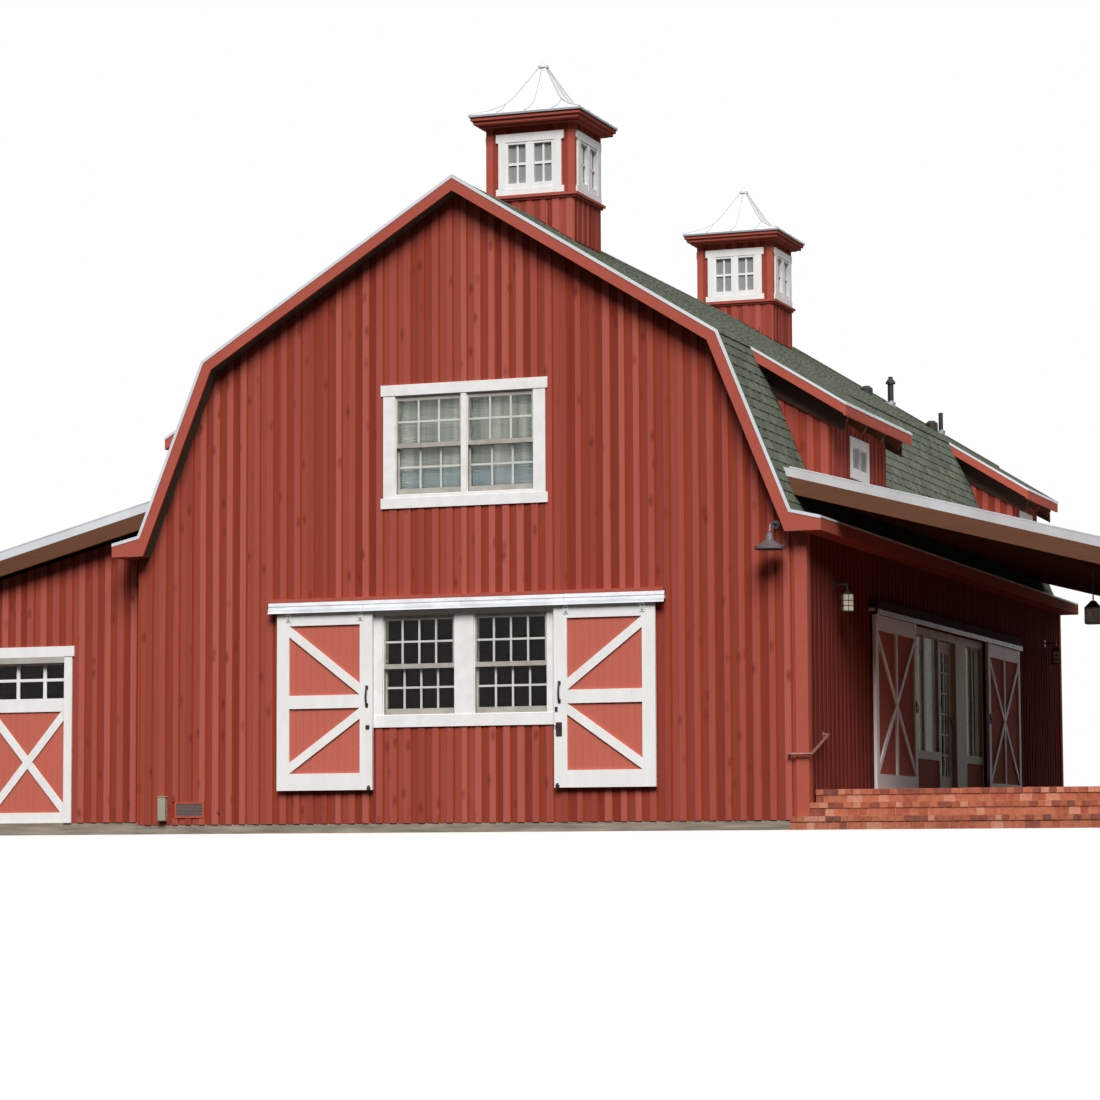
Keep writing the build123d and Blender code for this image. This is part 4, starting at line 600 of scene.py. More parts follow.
base = KICK_Z + KICK_SLOPE * KICK_X - SLAB * math.hypot(1, KICK_SLOPE)
steep = BREAK_Z + BREAK_X * LOWER_SLOPE - SLAB * math.hypot(1, LOWER_SLOPE)
flat = RIDGE_Z - SLAB * math.hypot(1, UPPER_SLOPE)
kick_x = (steep - base) / (LOWER_SLOPE - KICK_SLOPE)
break_x = (steep - flat) / (LOWER_SLOPE - UPPER_SLOPE)
kick_point = (kick_x, base - KICK_SLOPE * kick_x)
break_point = (break_x, flat - UPPER_SLOPE * break_x)
OVERHANG = 0.022
lip = (break_x + OVERHANG, flat - UPPER_SLOPE * (break_x + OVERHANG))
SLAB_END = EAVE_X - 0.035
dormer_eave = (DORMER_END - DORMER_EDGE, flat - UPPER_SLOPE * (DORMER_END - DORMER_EDGE))
for name, side in (("left_roof_shingles", -1), ("right_roof_shingles", 1)):
    chance = random.Random(20 + side)
    skin = [], [], []
    shingle_slope(skin, (SLAB_END, base - KICK_SLOPE * SLAB_END), kick_point, ROOF_Y, side, chance)
    shingle_slope(skin, kick_point, break_point, ROOF_Y, side, chance, skip=DORMER_CHEEKS)
    shingle_slope(skin, lip, (0.0, flat), ROOF_Y, side, chance, thick=0.45)
    for a, b in DORMER_CHEEKS:
        span = (a - DORMER_RAKE + DORMER_EDGE, b + DORMER_RAKE - DORMER_EDGE)
        shingle_slope(skin, dormer_eave, break_point, span, side, chance, thick=0.45)
    made = mesh_piece(name, skin[0], skin[1], SHADES, skin[2])
    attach(made, "house")


def laid(start, end, step, least=0.02):
    """Start and end of each unit in a row, the last one cut short."""
    while start < end - least:
        stop = min(start + step, end)
        yield start, stop
        start = stop


def down_slope(side, points):
    """Outline along the upper slope on one side: (x, height over its plane) pairs."""
    return [(side * x, slope_at(x) + lift) for x, lift in points]


CAP_WIDTH = 0.150
ridge_caps = []
for number, (y, end) in enumerate(laid(*ROOF_Y, EXPOSURE, 0.01)):
    top = flat + (0.013 if number % 2 else 0.010)
    low = top - UPPER_SLOPE * CAP_WIDTH
    ridge_caps.append(("y", ((-CAP_WIDTH, low), (0.0, top), (CAP_WIDTH, low), (CAP_WIDTH, low - 0.008),
                             (0.0, top - 0.010), (-CAP_WIDTH, low - 0.008)), y, end, 0))
ROOF_LINE = ((0.0, RIDGE_Z), (BREAK_X, BREAK_Z), (KICK_X, KICK_Z), (EAVE_X, EAVE_Z))
for side in (-1, 1):
    edge = [(side * x, z - 0.004) for x, z in ROOF_LINE] + [(side * x, z + 0.009) for x, z in ROOF_LINE[::-1]]
    for start, end in ((-0.264, -0.200), (LENGTH + 0.200, LENGTH + 0.264)):
        ridge_caps.append(("y", edge, start, end, 0))
    edge = down_slope(side, ((3.545, -0.014), (4.806, -0.014), (4.806, 0.010), (3.545, 0.010)))
    for a, b in DORMER_CHEEKS:
        ridge_caps.append(("y", edge, b + DORMER_RAKE - 0.040, b + DORMER_RAKE + 0.007, 0))
boards("ridge_caps", ridge_caps, [shingle_skin])


# White sheet metal: drip edges, dormer drips and the porch and lean-to roofs, baked enamel on folded
# steel with upright seams. The film is even, with a little rain dust in broad patches.
def coated(name, light, dark, rough, metallic=0.0, patch=1.6, grain=80.0, depth=0.0006, stretch=(1.0, 1.0, 0.5)):
    """A painted, coated or moulded surface: broad weathering between two tones over a fine grain."""
    return mottled(name, light, dark, rough, (patch, 7.0, 0.6), (grain, 3.0), (0.3, depth), (0.32, 0.62), stretch,
                   metallic, 0.5 if metallic else 0.12)


white_metal = coated("white_enamelled_steel", "#DFE1E5", "#CFD1D4", 0.35)
dress(["drip_edges", "lean_to_roof"], white_metal)
# The porch roof gets a greyer copy of the white steel: painted shade that holds down its brightly lit top.
dress(["porch_roof"], coated("white_steel_painted_shade", "#CDCBCB", "#BAB8B9", 0.5))
# The seam ribs are a darker copy of the same white steel: painted shade that marks them.
rib_shade_metal = coated("rib_steel_painted_shade", "#C8C9CD", "#B4B6BA", 0.5)

SEAM_PITCH, SEAM_HEIGHT, SEAM_WIDTH = 0.406, 0.026, 0.012
seams = []
for side, top, inner, outer, span in ((1, PORCH_TOP, 4.300, 8.600, (0.280, 14.960)),
                                      (-1, LEAN_TOP, 4.320, 9.139, (0.030, 15.210))):
    run = span[1] - span[0]
    count = round(run / SEAM_PITCH)
    low, high = side_roof(outer, top), side_roof(inner, top)
    outline = ((side * inner, high), (side * outer, low), (side * outer, low + SEAM_HEIGHT),
               (side * inner, high + SEAM_HEIGHT))
    for i in range(count + 1):
        y = span[0] + i * (run - SEAM_WIDTH) / count
        seams.append(("y", outline, y, y + SEAM_WIDTH, 0))
boards("roof_seams", seams, [rib_shade_metal], 0.003)

DRIP, DRIP_THICK = 0.034, 0.006
inner = (steep + SLAB * math.hypot(1, LOWER_SLOPE) - RIDGE_Z) / (LOWER_SLOPE - UPPER_SLOPE)
low = slope_at(DORMER_END)
drips = []
for side in (-1, 1):
    outline = down_slope(side, ((inner, 0.002), (DORMER_END + 0.008, 0.002), (DORMER_END + 0.008, -DRIP),
                                (inner, -DRIP)))
    drips.append(plank(pair(side, EAVE_X, EAVE_X + DRIP_THICK), (-0.255, LENGTH + 0.255),
                       (EAVE_Z - 0.022, EAVE_Z + 0.004)))
    for a, b in DORMER_CHEEKS:
        a, b = a - DORMER_RAKE, b + DORMER_RAKE
        drips += [("y", outline, a - DRIP_THICK, a, 0), ("y", outline, b, b + DRIP_THICK, 0),
                  plank(pair(side, DORMER_END, DORMER_END + DRIP_THICK), (a, b), (low - DRIP, low + 0.004))]
boards("dormer_drips", drips, [white_metal])


# Brown wood: fir boards, rafters, beams and posts under the side roofs and dormers, in a dark
# brown stain, and the boards that close the dormers' overhang.
brown_across = stained_wood("brown_stained_fir", "#7A523D", "#543628", streak=(0.8, 12.0, 12.0), rough=0.75)
brown_long = stained_wood("brown_stained_fir_long", "#66452E", "#42291C", streak=(12.0, 0.8, 12.0), rough=0.75)
brown_upright = stained_wood("brown_stained_fir_upright", "#66452E", "#42291C", streak=(12.0, 12.0, 0.8),
                             rough=0.75)
dress(["side_roof_rafters", "dormer_rafter_tails"], brown_across)
dress(["side_roof_decks"], brown_long)
dress(["porch_frame"], brown_upright)
GROOVE = 0.003
LINING = DORMER_SLAB + 0.011


def tongued(span, count):
    """Boards side by side over a span, each less its groove."""
    width = (span[1] - span[0]) / count
    return [(span[0] + width * i, span[0] + width * (i + 1) - GROOVE) for i in range(count)]


def lining(side, start, end):
    """Outline of a board close under a dormer's roof."""
    return down_slope(side, ((start, -DORMER_SLAB), (end, -DORMER_SLAB), (end, -LINING), (start, -LINING)))


soffits = []
for side in (-1, 1):
    under = lining(side, 3.560, DORMER_END - DORMER_EDGE)
    band = down_slope(side, ((3.604, -DORMER_SLAB), (4.725, -DORMER_SLAB), (4.725, -0.405), (3.800, -0.470)))
    for a, b in DORMER_CHEEKS:
        for span in ((a - DORMER_RAKE + DORMER_EDGE, a), (b, b + DORMER_RAKE - DORMER_EDGE)):
            soffits += [("y", under, start, end, 0) for start, end in tongued(span, 3)]
        soffits += [("y", lining(side, x, x + 0.087), a, b, 1) for x in (4.500, 4.590, 4.680)]
        soffits += [("y", band, a - 0.045, a, 2), ("y", band, b, b + 0.045, 2),
                    plank(pair(side, DORMER_X + 0.016, DORMER_X + 0.030), (a, b),
                          (DORMER_TOP - 0.230, DORMER_TOP), 1)]
shaded_brown = stained_wood("brown_rafter_in_shade", "#54413A", "#3A2B26", streak=(0.8, 12.0, 12.0), rough=0.8)
boards("dormer_soffits", soffits, [brown_across, brown_long, shaded_brown])


# Painted trim: planed pine casings under white oil paint, with faint brush marks, and beige grey on
# the sashes set back in them.
white_paint = coated("white_oil_paint", "#F1EFEC", "#E9E6E2", 0.45, patch=2.2, grain=45.0, stretch=(3.0, 3.0, 1.0))
sash_paint = coated("beige_grey_paint", "#B4AEA5", "#A29C92", 0.5, patch=2.5, grain=60.0)
# The entry's white is darker and warmer than the trim's: painted shade and warm bounce light under the porch.
porch_shade_white = coated("white_paint_painted_shade", "#CFC6B3", "#BDB4A1", 0.5, patch=3.0, grain=45.0)
dress(["cupola_windows", "dormer_windows"], white_paint)
dress(["entry_frame", "entry_door"], porch_shade_white)
casing_paint, tree, shader = material("casing_and_sash_paint", "#ECEAE6", 0.45, Specular_IOR_Level=0.12)
place = add(tree, "TexCoord").node.outputs["Object"]
split = add(tree, "SeparateXYZ", place).node
middle = add(tree, "Math", split.outputs[1], LENGTH / 2, operation="SUBTRACT")
middle = add(tree, "Math", middle, operation="ABSOLUTE")
proud = add(tree, "Math", middle, LENGTH / 2 - 0.0045, operation="GREATER_THAN")
brushed = add(tree, "TexNoise", place, Scale=6.0, Detail=6.0)
spread = add(tree, "MapRange", brushed, From_Min=0.35, From_Max=0.6)
outer = add(tree, "Mix", spread, A="#E9E6E2", B="#F1EFEC", data_type="RGBA")
inner = add(tree, "Mix", spread, A="#A29C92", B="#B4AEA5", data_type="RGBA")
tone = add(tree, "Mix", proud, A=inner, B=outer, data_type="RGBA")
relief = add(tree, "Bump", Height=brushed, Strength=0.2, Distance=0.001)
wire(shader, Base_Color=tone, Normal=relief)
dress(["upper_windows", "lower_windows"], casing_paint)


# Window glass: clear float glass with the slight wave of sealed units. It shows dark rooms behind
# and a soft reflection of the sky. The entry's panes under the porch have an anti-glare coat.
PORCH_GLASS = 4.300
PLAIN_BEND, COATED_BEND = 1.22, 1.05
window_glass, tree, shader = material("clear_float_glass", "#F4F8F7", 0.02, Transmission_Weight=1.0,
                                      IOR=PLAIN_BEND)
place = add(tree, "TexCoord").node.outputs["Object"]
high = add(tree, "SeparateXYZ", place).node
# The cupola's panes, above the ledge, are greyer and let less light through.
high_panes = add(tree, "Math", high.outputs[2], LEDGE[1], operation="GREATER_THAN")
clear = add(tree, "MapRange", high_panes, To_Min=1.0, To_Max=0.45)
high_pane_tint = add(tree, "Mix", high_panes, A="#F4F8F7", B="#B2B5B2", data_type="RGBA")
coated_side = add(tree, "Math", high.outputs[0], PORCH_GLASS, operation="GREATER_THAN")
bend = add(tree, "MapRange", coated_side, To_Min=PLAIN_BEND, To_Max=COATED_BEND)
wave = add(tree, "TexNoise", place, Scale=1.4, Detail=1.0)
relief = add(tree, "Bump", Height=wave, Strength=0.03, Distance=0.005)
wire(shader, Transmission_Weight=clear, Base_Color=high_pane_tint, IOR=bend, Normal=relief)
dress(["window_glass", "entry_door_glass"], window_glass)


# Glazing bars: slim painted bars on each sash, three or four columns and two rows, tight against
# the glass. The lower sashes slide behind the upper ones.
bar_paint = coated("pale_grey_bar_paint", "#D4D3CD", "#C6C4BE", 0.45, patch=3.0, grain=60.0)
BAR = 0.027
SASH_RECESS, SASH_SETBACK, PANE_DEPTH = 0.005, 0.055, 0.020
UPPER_MEETING, LOWER_MEETING = 4.981, 2.133
STILE, TOP_RAIL, BOTTOM_RAIL, MEETING = 0.036, 0.072, 0.092, 0.030


def grid(x, z, columns, rows, depth, face, inward, shift=(0.0, 0.0)):
    """Bars over one light on a gable, in front of the pane, shifted off its even division."""
    near, far = pair(inward, depth, depth + PANE_DEPTH - 0.004, face)
    solids = []
    for i in range(1, columns):
        middle = x[0] + (x[1] - x[0]) * i / columns + shift[0]
        solids.append(plank(about(middle, BAR / 2), (near, far), z))
    for i in range(1, rows):
        middle = z[0] + (z[1] - z[0]) * i / rows + shift[1]
        solids.append(plank(x, (near + 0.001, far - 0.001), about(middle, BAR / 2)))
    return solids


bars = []
for face, inward in ((0.0, 1), (LENGTH, -1)):
    for units, z, meeting, columns in ((UPPER_UNITS, UPPER_Z, UPPER_MEETING, 3),
                                       (LOWER_UNITS, LOWER_Z, LOWER_MEETING, 4)):
        for unit in units:
            x = (unit[0] + STILE, unit[1] - STILE)
            bars += grid(x, (z[0] + BOTTOM_RAIL, meeting - MEETING), columns, 2,
                         SASH_RECESS + SASH_SETBACK + 0.003, face, inward, shift=(0.004, 0.012))
            bars += grid(x, (meeting + MEETING, z[1] - TOP_RAIL), columns, 2, SASH_RECESS + 0.003, face, inward)
boards("glazing_bars", bars, [bar_paint], 0.002)


# Blinds: pleated cloth in four sheets behind the upper windows, with soft upright folds. The cloth is
# thin, pale grey green, with a line of shade in each pleat.
blind_cloth, tree, shader = material("pleated_blind_cloth", "#A9AAA2", 0.9, Specular_IOR_Level=0.05)
place = add(tree, "TexCoord").node.outputs["Object"]
split = add(tree, "SeparateXYZ", place).node
# The upright folds are darker streaks in the colour: painted shade in the folds.
fold = add(tree, "Mapping", place, Scale=(7.0, 0.1, 0.35))
fold = add(tree, "TexNoise", fold, Scale=1.0, Detail=2.0)
spread = add(tree, "MapRange", fold, From_Min=0.38, From_Max=0.62)
tone = add(tree, "Mix", spread, A="#83867E", B="#AFAEA6", data_type="RGBA")
low = add(tree, "MapRange", split.outputs[2], From_Min=4.60, From_Max=4.72, To_Min=0.55, To_Max=0.0)
tone = add(tree, "Mix", low, A=tone, B="#7E8B96", data_type="RGBA")
weave = add(tree, "TexNoise", place, Scale=300.0)
relief = add(tree, "Bump", Height=weave, Strength=0.3, Distance=0.001)
wire(shader, Base_Color=tone, Normal=relief)
PLEAT, PLEAT_DEPTH = 0.021, 0.004
BLIND_Z, BLIND_GAP, BLIND_SETBACK = (4.345, 5.626), 0.010, 0.125
BLIND_ROWS, BLIND_COLUMNS = 2 * round((BLIND_Z[1] - BLIND_Z[0]) / PLEAT), 24


def hung_sheet(name, verts, columns, cloth):
    """Cloth on a grid of rows and columns."""
    rows = len(verts) // (columns + 1) - 1
    faces = [(first, first + 1, first + columns + 2, first + columns + 1)
             for r in range(rows) for first in range(r * (columns + 1), r * (columns + 1) + columns)]
    made = mesh_piece(name, verts, faces, [cloth])
    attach(made, "house")
    return made


blinds = []
for name, face, inward in (("front", 0.0, 1), ("rear", LENGTH, -1)):
    for side, unit in zip(("left", "right"), UPPER_UNITS):
        width = unit[1] - unit[0] - 2 * BLIND_GAP
        verts = []
        for r in range(BLIND_ROWS + 1):
            z = BLIND_Z[0] + (BLIND_Z[1] - BLIND_Z[0]) * r / BLIND_ROWS
            for c in range(BLIND_COLUMNS + 1):
                x = unit[0] + BLIND_GAP + width * c / BLIND_COLUMNS
                y = BLIND_SETBACK + (PLEAT_DEPTH if r % 2 else 0.0) + 0.003 * math.sin(x * 21.0)
                verts.append((x, face + inward * y, z))
        blinds.append(hung_sheet(f"{name}_{side}_blind", verts, BLIND_COLUMNS, blind_cloth))
for blind in blinds:
    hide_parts("upper_blinds")


# Front sliding doors: white frames with one brace to each field over tongued red boards, hung on
# strap hangers with iron pulls, latch plates and a guide at the foot.
door_stain = stained_wood("red_stained_door_boards", "#CC7060", "#BB6051", streak=(12.0, 12.0, 1.0), rough=0.65,
                          share=0.4)
iron = coated("rusted_black_iron", "#4A3A34", "#2E2522", 0.6, 0.6, patch=9.0, grain=120.0)
galvanised = coated("galvanised_steel", "#E6E7EA", "#C6C9CD", 0.4, 0.15, patch=2.4, grain=25.0,
                    stretch=(1.0, 1.0, 4.0))
DOOR_Z = (0.555, 2.845)
DOOR_STILE = 0.174
FIELDS = ((1.780, 2.685), (0.772, 1.610))
TONGUE = 0.004
BRACE_FACE = 0.001
RAIL_Z, BRACKET = (2.890, 2.930), 0.040
HOOK_Z, STRAP_Z, BEND_Z = (2.844, 2.972), (2.735, 2.845), (2.845, 2.853)
WHEEL_Z, WHEEL_RADIUS = 2.9525, 0.022


def disc(u, v, radius, sides):
    """Corners of a round plate."""
    return [(u + radius * math.cos(math.tau * i / sides), v + radius * math.sin(math.tau * i / sides))
            for i in range(sides)]


def hanger(axis, middle, half, hook, face, wheel):
    """A strap hanger with its wheel: hook, face and wheel are depths over the rail, on the leaf and
    on the rail, along an axis."""
    bend = (min(*hook, *face), max(*hook, *face))
    strap = about(middle, half)
    return [plank(strap, depth, z, 3) if axis == "y" else plank(depth, strap, z, 3)
            for depth, z in ((hook, HOOK_Z), (face, STRAP_Z), (bend, BEND_Z))
            ] + [(axis, disc(middle, WHEEL_Z, WHEEL_RADIUS, 15), *wheel, 3)]


def brace(axis, field, z, rising, inset, width, span):
    """A diagonal board over a field of a door, cut to the field's corners. inset is how far its
    middle line meets the sides from the corners."""
    slope = (z[1] - z[0] - 2 * inset) / (field[1] - field[0])
    half = width / 2 * math.hypot(1, slope)
    cut = max(0.0, (half - inset) / slope)
    low = [(field[0], z[0]), (field[0] + cut, z[0])] if cut else [(field[0], z[0] + inset - half)]
    high = [(field[1], z[1]), (field[1] - cut, z[1])] if cut else [(field[1], z[1] - inset + half)]
    outline = low + [(field[1], z[1] - inset - half)] + high + [(field[0], z[0] + inset + half)]
    if not rising:
        outline = [(field[0] + field[1] - u, v) for u, v in outline]
    return axis, outline, span[0], span[1], 0


FRONT, PANEL, BACK = -0.090, -0.065, -0.045
PLATES = {"left": ((-1.2455, 1.360, 0.026, 0.024),),
          "right": ((1.336, 1.541, 0.018, 0.028), (1.371, 1.289, 0.040, 0.085))}
for name, side in (("left", -1), ("right", 1)):
    inner = 0.060 + side * 1.2435
    outer = inner + side * 1.345
    x = sorted((inner, outer))
    field_x = (x[0] + DOOR_STILE, x[1] - DOOR_STILE)
    parts = [plank((x[0], field_x[0]), (FRONT, BACK), DOOR_Z), plank((field_x[1], x[1]), (FRONT, BACK), DOOR_Z)]
    for z in ((DOOR_Z[0], FIELDS[1][0]), (FIELDS[1][1], FIELDS[0][0]), (FIELDS[0][1], DOOR_Z[1])):
        parts.append(plank(field_x, (FRONT, BACK), z))
    for z, rising in ((FIELDS[0], side > 0), (FIELDS[1], side < 0)):
        parts.append(brace("y", field_x, z, rising, 0.070, 0.112, (FRONT + BRACE_FACE, PANEL)))
        parts.append(plank(field_x, (PANEL + TONGUE, BACK), z, 1))
        parts += [plank(board, (PANEL, PANEL + TONGUE), z, 1) for board in tongued(field_x, 10)]
    for middle in (x[0] + 0.165, x[1] - 0.165):
        parts += hanger("y", middle, 0.034, (-0.0885, -0.0805), (FRONT - 0.008, FRONT), (-0.0805, -0.0625))
        parts += [("y", disc(middle, z, 0.010, 6), FRONT - 0.014, FRONT - 0.008, 2) for z in (2.760, 2.815)]
    pull = inner + side * 0.0735
    for z in ((1.614, 1.664), (1.842, 1.892)):
        parts.append(plank(about(pull, 0.019), (FRONT - 0.010, FRONT), z, 2))
    arc = [(FRONT - 0.012 - 0.038 * math.sin(math.pi * i / 8) ** 0.7, 1.632 + 0.242 * i / 8) for i in range(9)]
    parts.append(("x", arc + [(y + 0.012, z) for y, z in arc[::-1]], pull - 0.011, pull + 0.011, 2))
    for plate_x, plate_z, half_x, half_z in PLATES[name]:
        parts.append(plank(about(plate_x, half_x), (FRONT - 0.012, FRONT), about(plate_z, half_z), 2))
        parts.append(plank(about(plate_x, 0.008), (FRONT - 0.024, FRONT - 0.012), about(plate_z, 0.012), 2))
        if half_z > 0.05:
            parts.append(plank((plate_x - 0.056, plate_x + 0.012), (FRONT - 0.030, FRONT - 0.022),
                               (plate_z + 0.030, plate_z + 0.046), 2))
    guide = inner + side * 0.045
    parts.append(plank(about(guide, 0.024), (FRONT - 0.016, FRONT), (0.560, 0.592), 2))
    parts.append(plank(about(guide, 0.012), (FRONT - 0.022, FRONT - 0.002), (0.556, 0.612), 2))
    boards(f"{name}_sliding_door", parts, [white_paint, door_stain, iron, galvanised], 0.002,
           [f"front_{name}_sliding_door"], f"front_{name}_door")


# Front track: a galvanised cover in two folds under a red-stained strip, over a flat rail on steel
# brackets. Lengths of sheet lap along it, and dull and bright patches show on the zinc.
COVER_X, TRACK_X = (-2.640, 2.770), (-2.650, 2.770)
track = [plank(TRACK_X, (-0.112, 0.0), (2.986, 3.035), 0)]
fold = ((-0.104, 2.990), (-0.110, 2.988), (-0.121, 2.940), (-0.116, 2.932), (-0.126, 2.905), (-0.133, 2.896),
        (-0.139, 2.862), (-0.148, 2.848), (-0.144, 2.845), (-0.133, 2.861), (-0.098, 2.988))
joints = [COVER_X[0], -1.30, 0.06, 1.45, COVER_X[1] + 0.015]
for number, (start, end) in enumerate(zip(joints, joints[1:])):
    lap = 0.0015 * (number % 2)
    track.append(("x", [(y - lap, z) for y, z in fold], start, end - 0.001, 1))
track.append(plank(TRACK_X, (-0.0725, -0.0625), RAIL_Z, 1))
for i in range(7):
    x = TRACK_X[0] + i * (TRACK_X[1] - TRACK_X[0] - BRACKET) / 6
    track.append(plank((x, x + BRACKET), (-0.0625, 0.0), RAIL_Z, 1))
boards("front_track_cover", track, [trim_stain, galvanised], 0.0015, ["front_door_track"])


# Porch floor: clay bricks laid flat on a mortar bed, with a row on edge along each nosing and a
# course on end under it. No two bricks are quite alike, from pale salmon to burnt brown.
def fired_clay(name, light, dark):
    """One batch of brick: a mottled face with fine sand in it."""
    return mottled(name, light, dark, 0.9, (14.0, 5.0, 0.5), (160.0, 3.0), (0.5, 0.002))


CLAYS = [fired_clay("clay_salmon", "#D0917A", "#BB7A60"), fired_clay("clay_orange", "#C07459", "#A96045"),
         fired_clay("clay_red", "#B3674F", "#9A523D"), fired_clay("clay_brown", "#9C5A4B", "#84483B"),
         fired_clay("clay_burnt", "#8E574B", "#744439")]
NOSING_SHARE = (4, 5, 5, 4, 2)
COURSE_SHARE = (1, 8, 7, 1, 0)
mortar = coated("sand_mortar", "#B9A08C", "#99806E", 0.95, patch=8.0, grain=140.0, depth=0.002)
dress(["patio"], mortar)
JOINT, PROUD = 0.007, 0.006
BRICK_WIDTH, BRICK_LENGTH, PAVING_Z = 0.1085, 0.212, (0.480, 0.504)
NOSING, NOSING_WIDTH, NOSING_HEIGHT = 0.032, 0.100, 0.064
PATIO_X, PATIO_Y, RISER, TREAD = (4.600, 8.500), (0.280, 14.960), 0.5 / 3, 0.280
chance = random.Random(7)
bricks = []


def clay(share=NOSING_SHARE):
    return chance.choices(range(len(CLAYS)), share)[0]


def face_course(start, end, face, z, widths, proud, share):
    """One course on a riser facing the front: bricks of chance widths between two heights."""
    x = start
    while x < end - 0.02:
        stop = min(x + chance.uniform(*widths), end)
        if end - stop < widths[0] * 0.6:
            stop = end
        bricks.append(plank((x, stop - JOINT), (face - proud - chance.uniform(0, 0.002), face + 0.030), z,
                            clay(share)))
        x = stop


for level_number in range(3):
    riser_face = PATIO_Y[0] - TREAD * (2 - level_number)
    low = RISER * level_number
    start = 4.430 if level_number == 0 else PATIO_X[0]
    face_course(start, PATIO_X[1], riser_face, (low + RISER - NOSING_HEIGHT, low + RISER),
                (0.080, 0.118), 0.014, NOSING_SHARE)
    face_course(start, PATIO_X[1], riser_face, (low + 0.003, low + RISER - NOSING_HEIGHT - JOINT),
                (0.090, 0.200), 0.003, COURSE_SHARE)
for level_number in range(2):
    top = RISER * (level_number + 1)
    start = PATIO_Y[0] - TREAD * (2 - level_number)
    for x, stop in laid(*PATIO_X, NOSING_WIDTH):
        bricks.append(plank((x, stop - JOINT), (start + NOSING, start + 0.215), (top - 0.020, top + 0.004), clay()))
field_start = PATIO_Y[0] + NOSING
for row, (x, stop) in enumerate(laid(*PATIO_X, BRICK_WIDTH, 0.05)):
    for y, end in laid(PATIO_Y[0] + (NOSING if row % 2 else -0.070), PATIO_Y[1], BRICK_LENGTH):
        if end - max(y, field_start) > 0.03:
            bricks.append(plank((x, stop - JOINT), (max(y, field_start), end - JOINT), PAVING_Z, clay()))
for y, end in laid(*PATIO_Y, BRICK_LENGTH):
    for z in ((0.003, 0.102), (0.111, 0.210), (0.219, 0.318), (0.327, 0.427), (0.436, 0.500)):
        bricks.append(plank((PATIO_X[1] - 0.030, PATIO_X[1] + PROUD), (y, end - JOINT), z, clay()))
boards("porch_bricks", bricks, CLAYS)


# Porch doors: two wide leaves pushed open beside the entry, each with crossed braces and a middle
# board over red boards, an iron ring pull near the doorway, hung from a covered track.
LEAF_X, LEAF_PANEL, LEAF_STILE = (4.617, 4.662), 4.637, 0.130
PULL_Z, PULL_RADIUS, PULL_SIDES = 1.690, 0.062, 18
for name, start, end, inward in (("front", 3.020, 5.210, 1), ("rear", 9.590, 11.780, -1)):
    field_y = (start + LEAF_STILE, end - LEAF_STILE)
    field_z = (DOOR_Z[0] + 0.200, DOOR_Z[1] - 0.200)
    parts = [plank(LEAF_X, y, z) for y, z in (((start, field_y[0]), DOOR_Z), ((field_y[1], end), DOOR_Z),
                                              (field_y, (DOOR_Z[0], field_z[0])), (field_y, (field_z[1], DOOR_Z[1])))]
    parts.append(plank((LEAF_PANEL, LEAF_X[1]), about((start + end) / 2, 0.0425), field_z))
    for rising, inset in ((True, BRACE_FACE), (False, BRACE_FACE + 0.002)):
        parts.append(brace("x", field_y, field_z, rising, 0.060, 0.080, (LEAF_PANEL, LEAF_X[1] - inset)))
    parts.append(plank((LEAF_X[0], LEAF_PANEL - TONGUE), field_y, field_z, 1))
    parts += [plank((LEAF_PANEL - TONGUE, LEAF_PANEL), board, field_z, 1) for board in tongued(field_y, 20)]
    for middle in field_y:
        parts += hanger("x", middle, 0.0275, (4.6525, 4.6605), (LEAF_X[1], LEAF_X[1] + 0.008), (4.6345, 4.6525))
    pull = (end if inward > 0 else start) - inward * 0.065
    parts.append(plank((LEAF_X[1], LEAF_X[1] + 0.010), about(pull, 0.022), (1.700, 1.790), 2))
    outside = disc(pull, PULL_Z, PULL_RADIUS, PULL_SIDES)
    inside = disc(pull, PULL_Z, PULL_RADIUS * 0.76, PULL_SIDES)
    for i in range(PULL_SIDES):
        j = (i + 1) % PULL_SIDES
        parts.append(("x", [outside[i], outside[j], inside[j], inside[i]], LEAF_X[1] + 0.010, LEAF_X[1] + 0.022, 2))
    boards(f"porch_{name}_leaf", parts, [white_paint, door_stain, iron, galvanised], 0.0,
           [f"porch_{name}_sliding_door"], f"porch_{name}_door")

PORCH_TRACK_Y, RIB_WIDTH, RIB_PITCH = (2.980, 11.820), 0.070, 0.1105
porch_track = [plank(x, PORCH_TRACK_Y, z, pick)
               for x, z, pick in (((4.6345, 4.6445), RAIL_Z, 1), ((4.692, 4.704), (2.866, 2.985), 0),
                                  ((4.690, 4.708), (2.848, 2.862), 1), ((4.600, 4.704), (2.985, 3.035), 0))]
for i in range(9):
    y = PORCH_TRACK_Y[0] + i * (PORCH_TRACK_Y[1] - PORCH_TRACK_Y[0] - BRACKET) / 8
    porch_track.append(plank((HALF, 4.6345), (y, y + BRACKET), RAIL_Z, 1))
for i in range(80):
    y = PORCH_TRACK_Y[0] + i * RIB_PITCH
    porch_track.append(plank((4.704, 4.710), (y, y + RIB_WIDTH), (2.862, 2.912), 1))
boards("porch_track_cover", porch_track, [shaded_brown, galvanised], 0.0015, ["porch_door_track"])


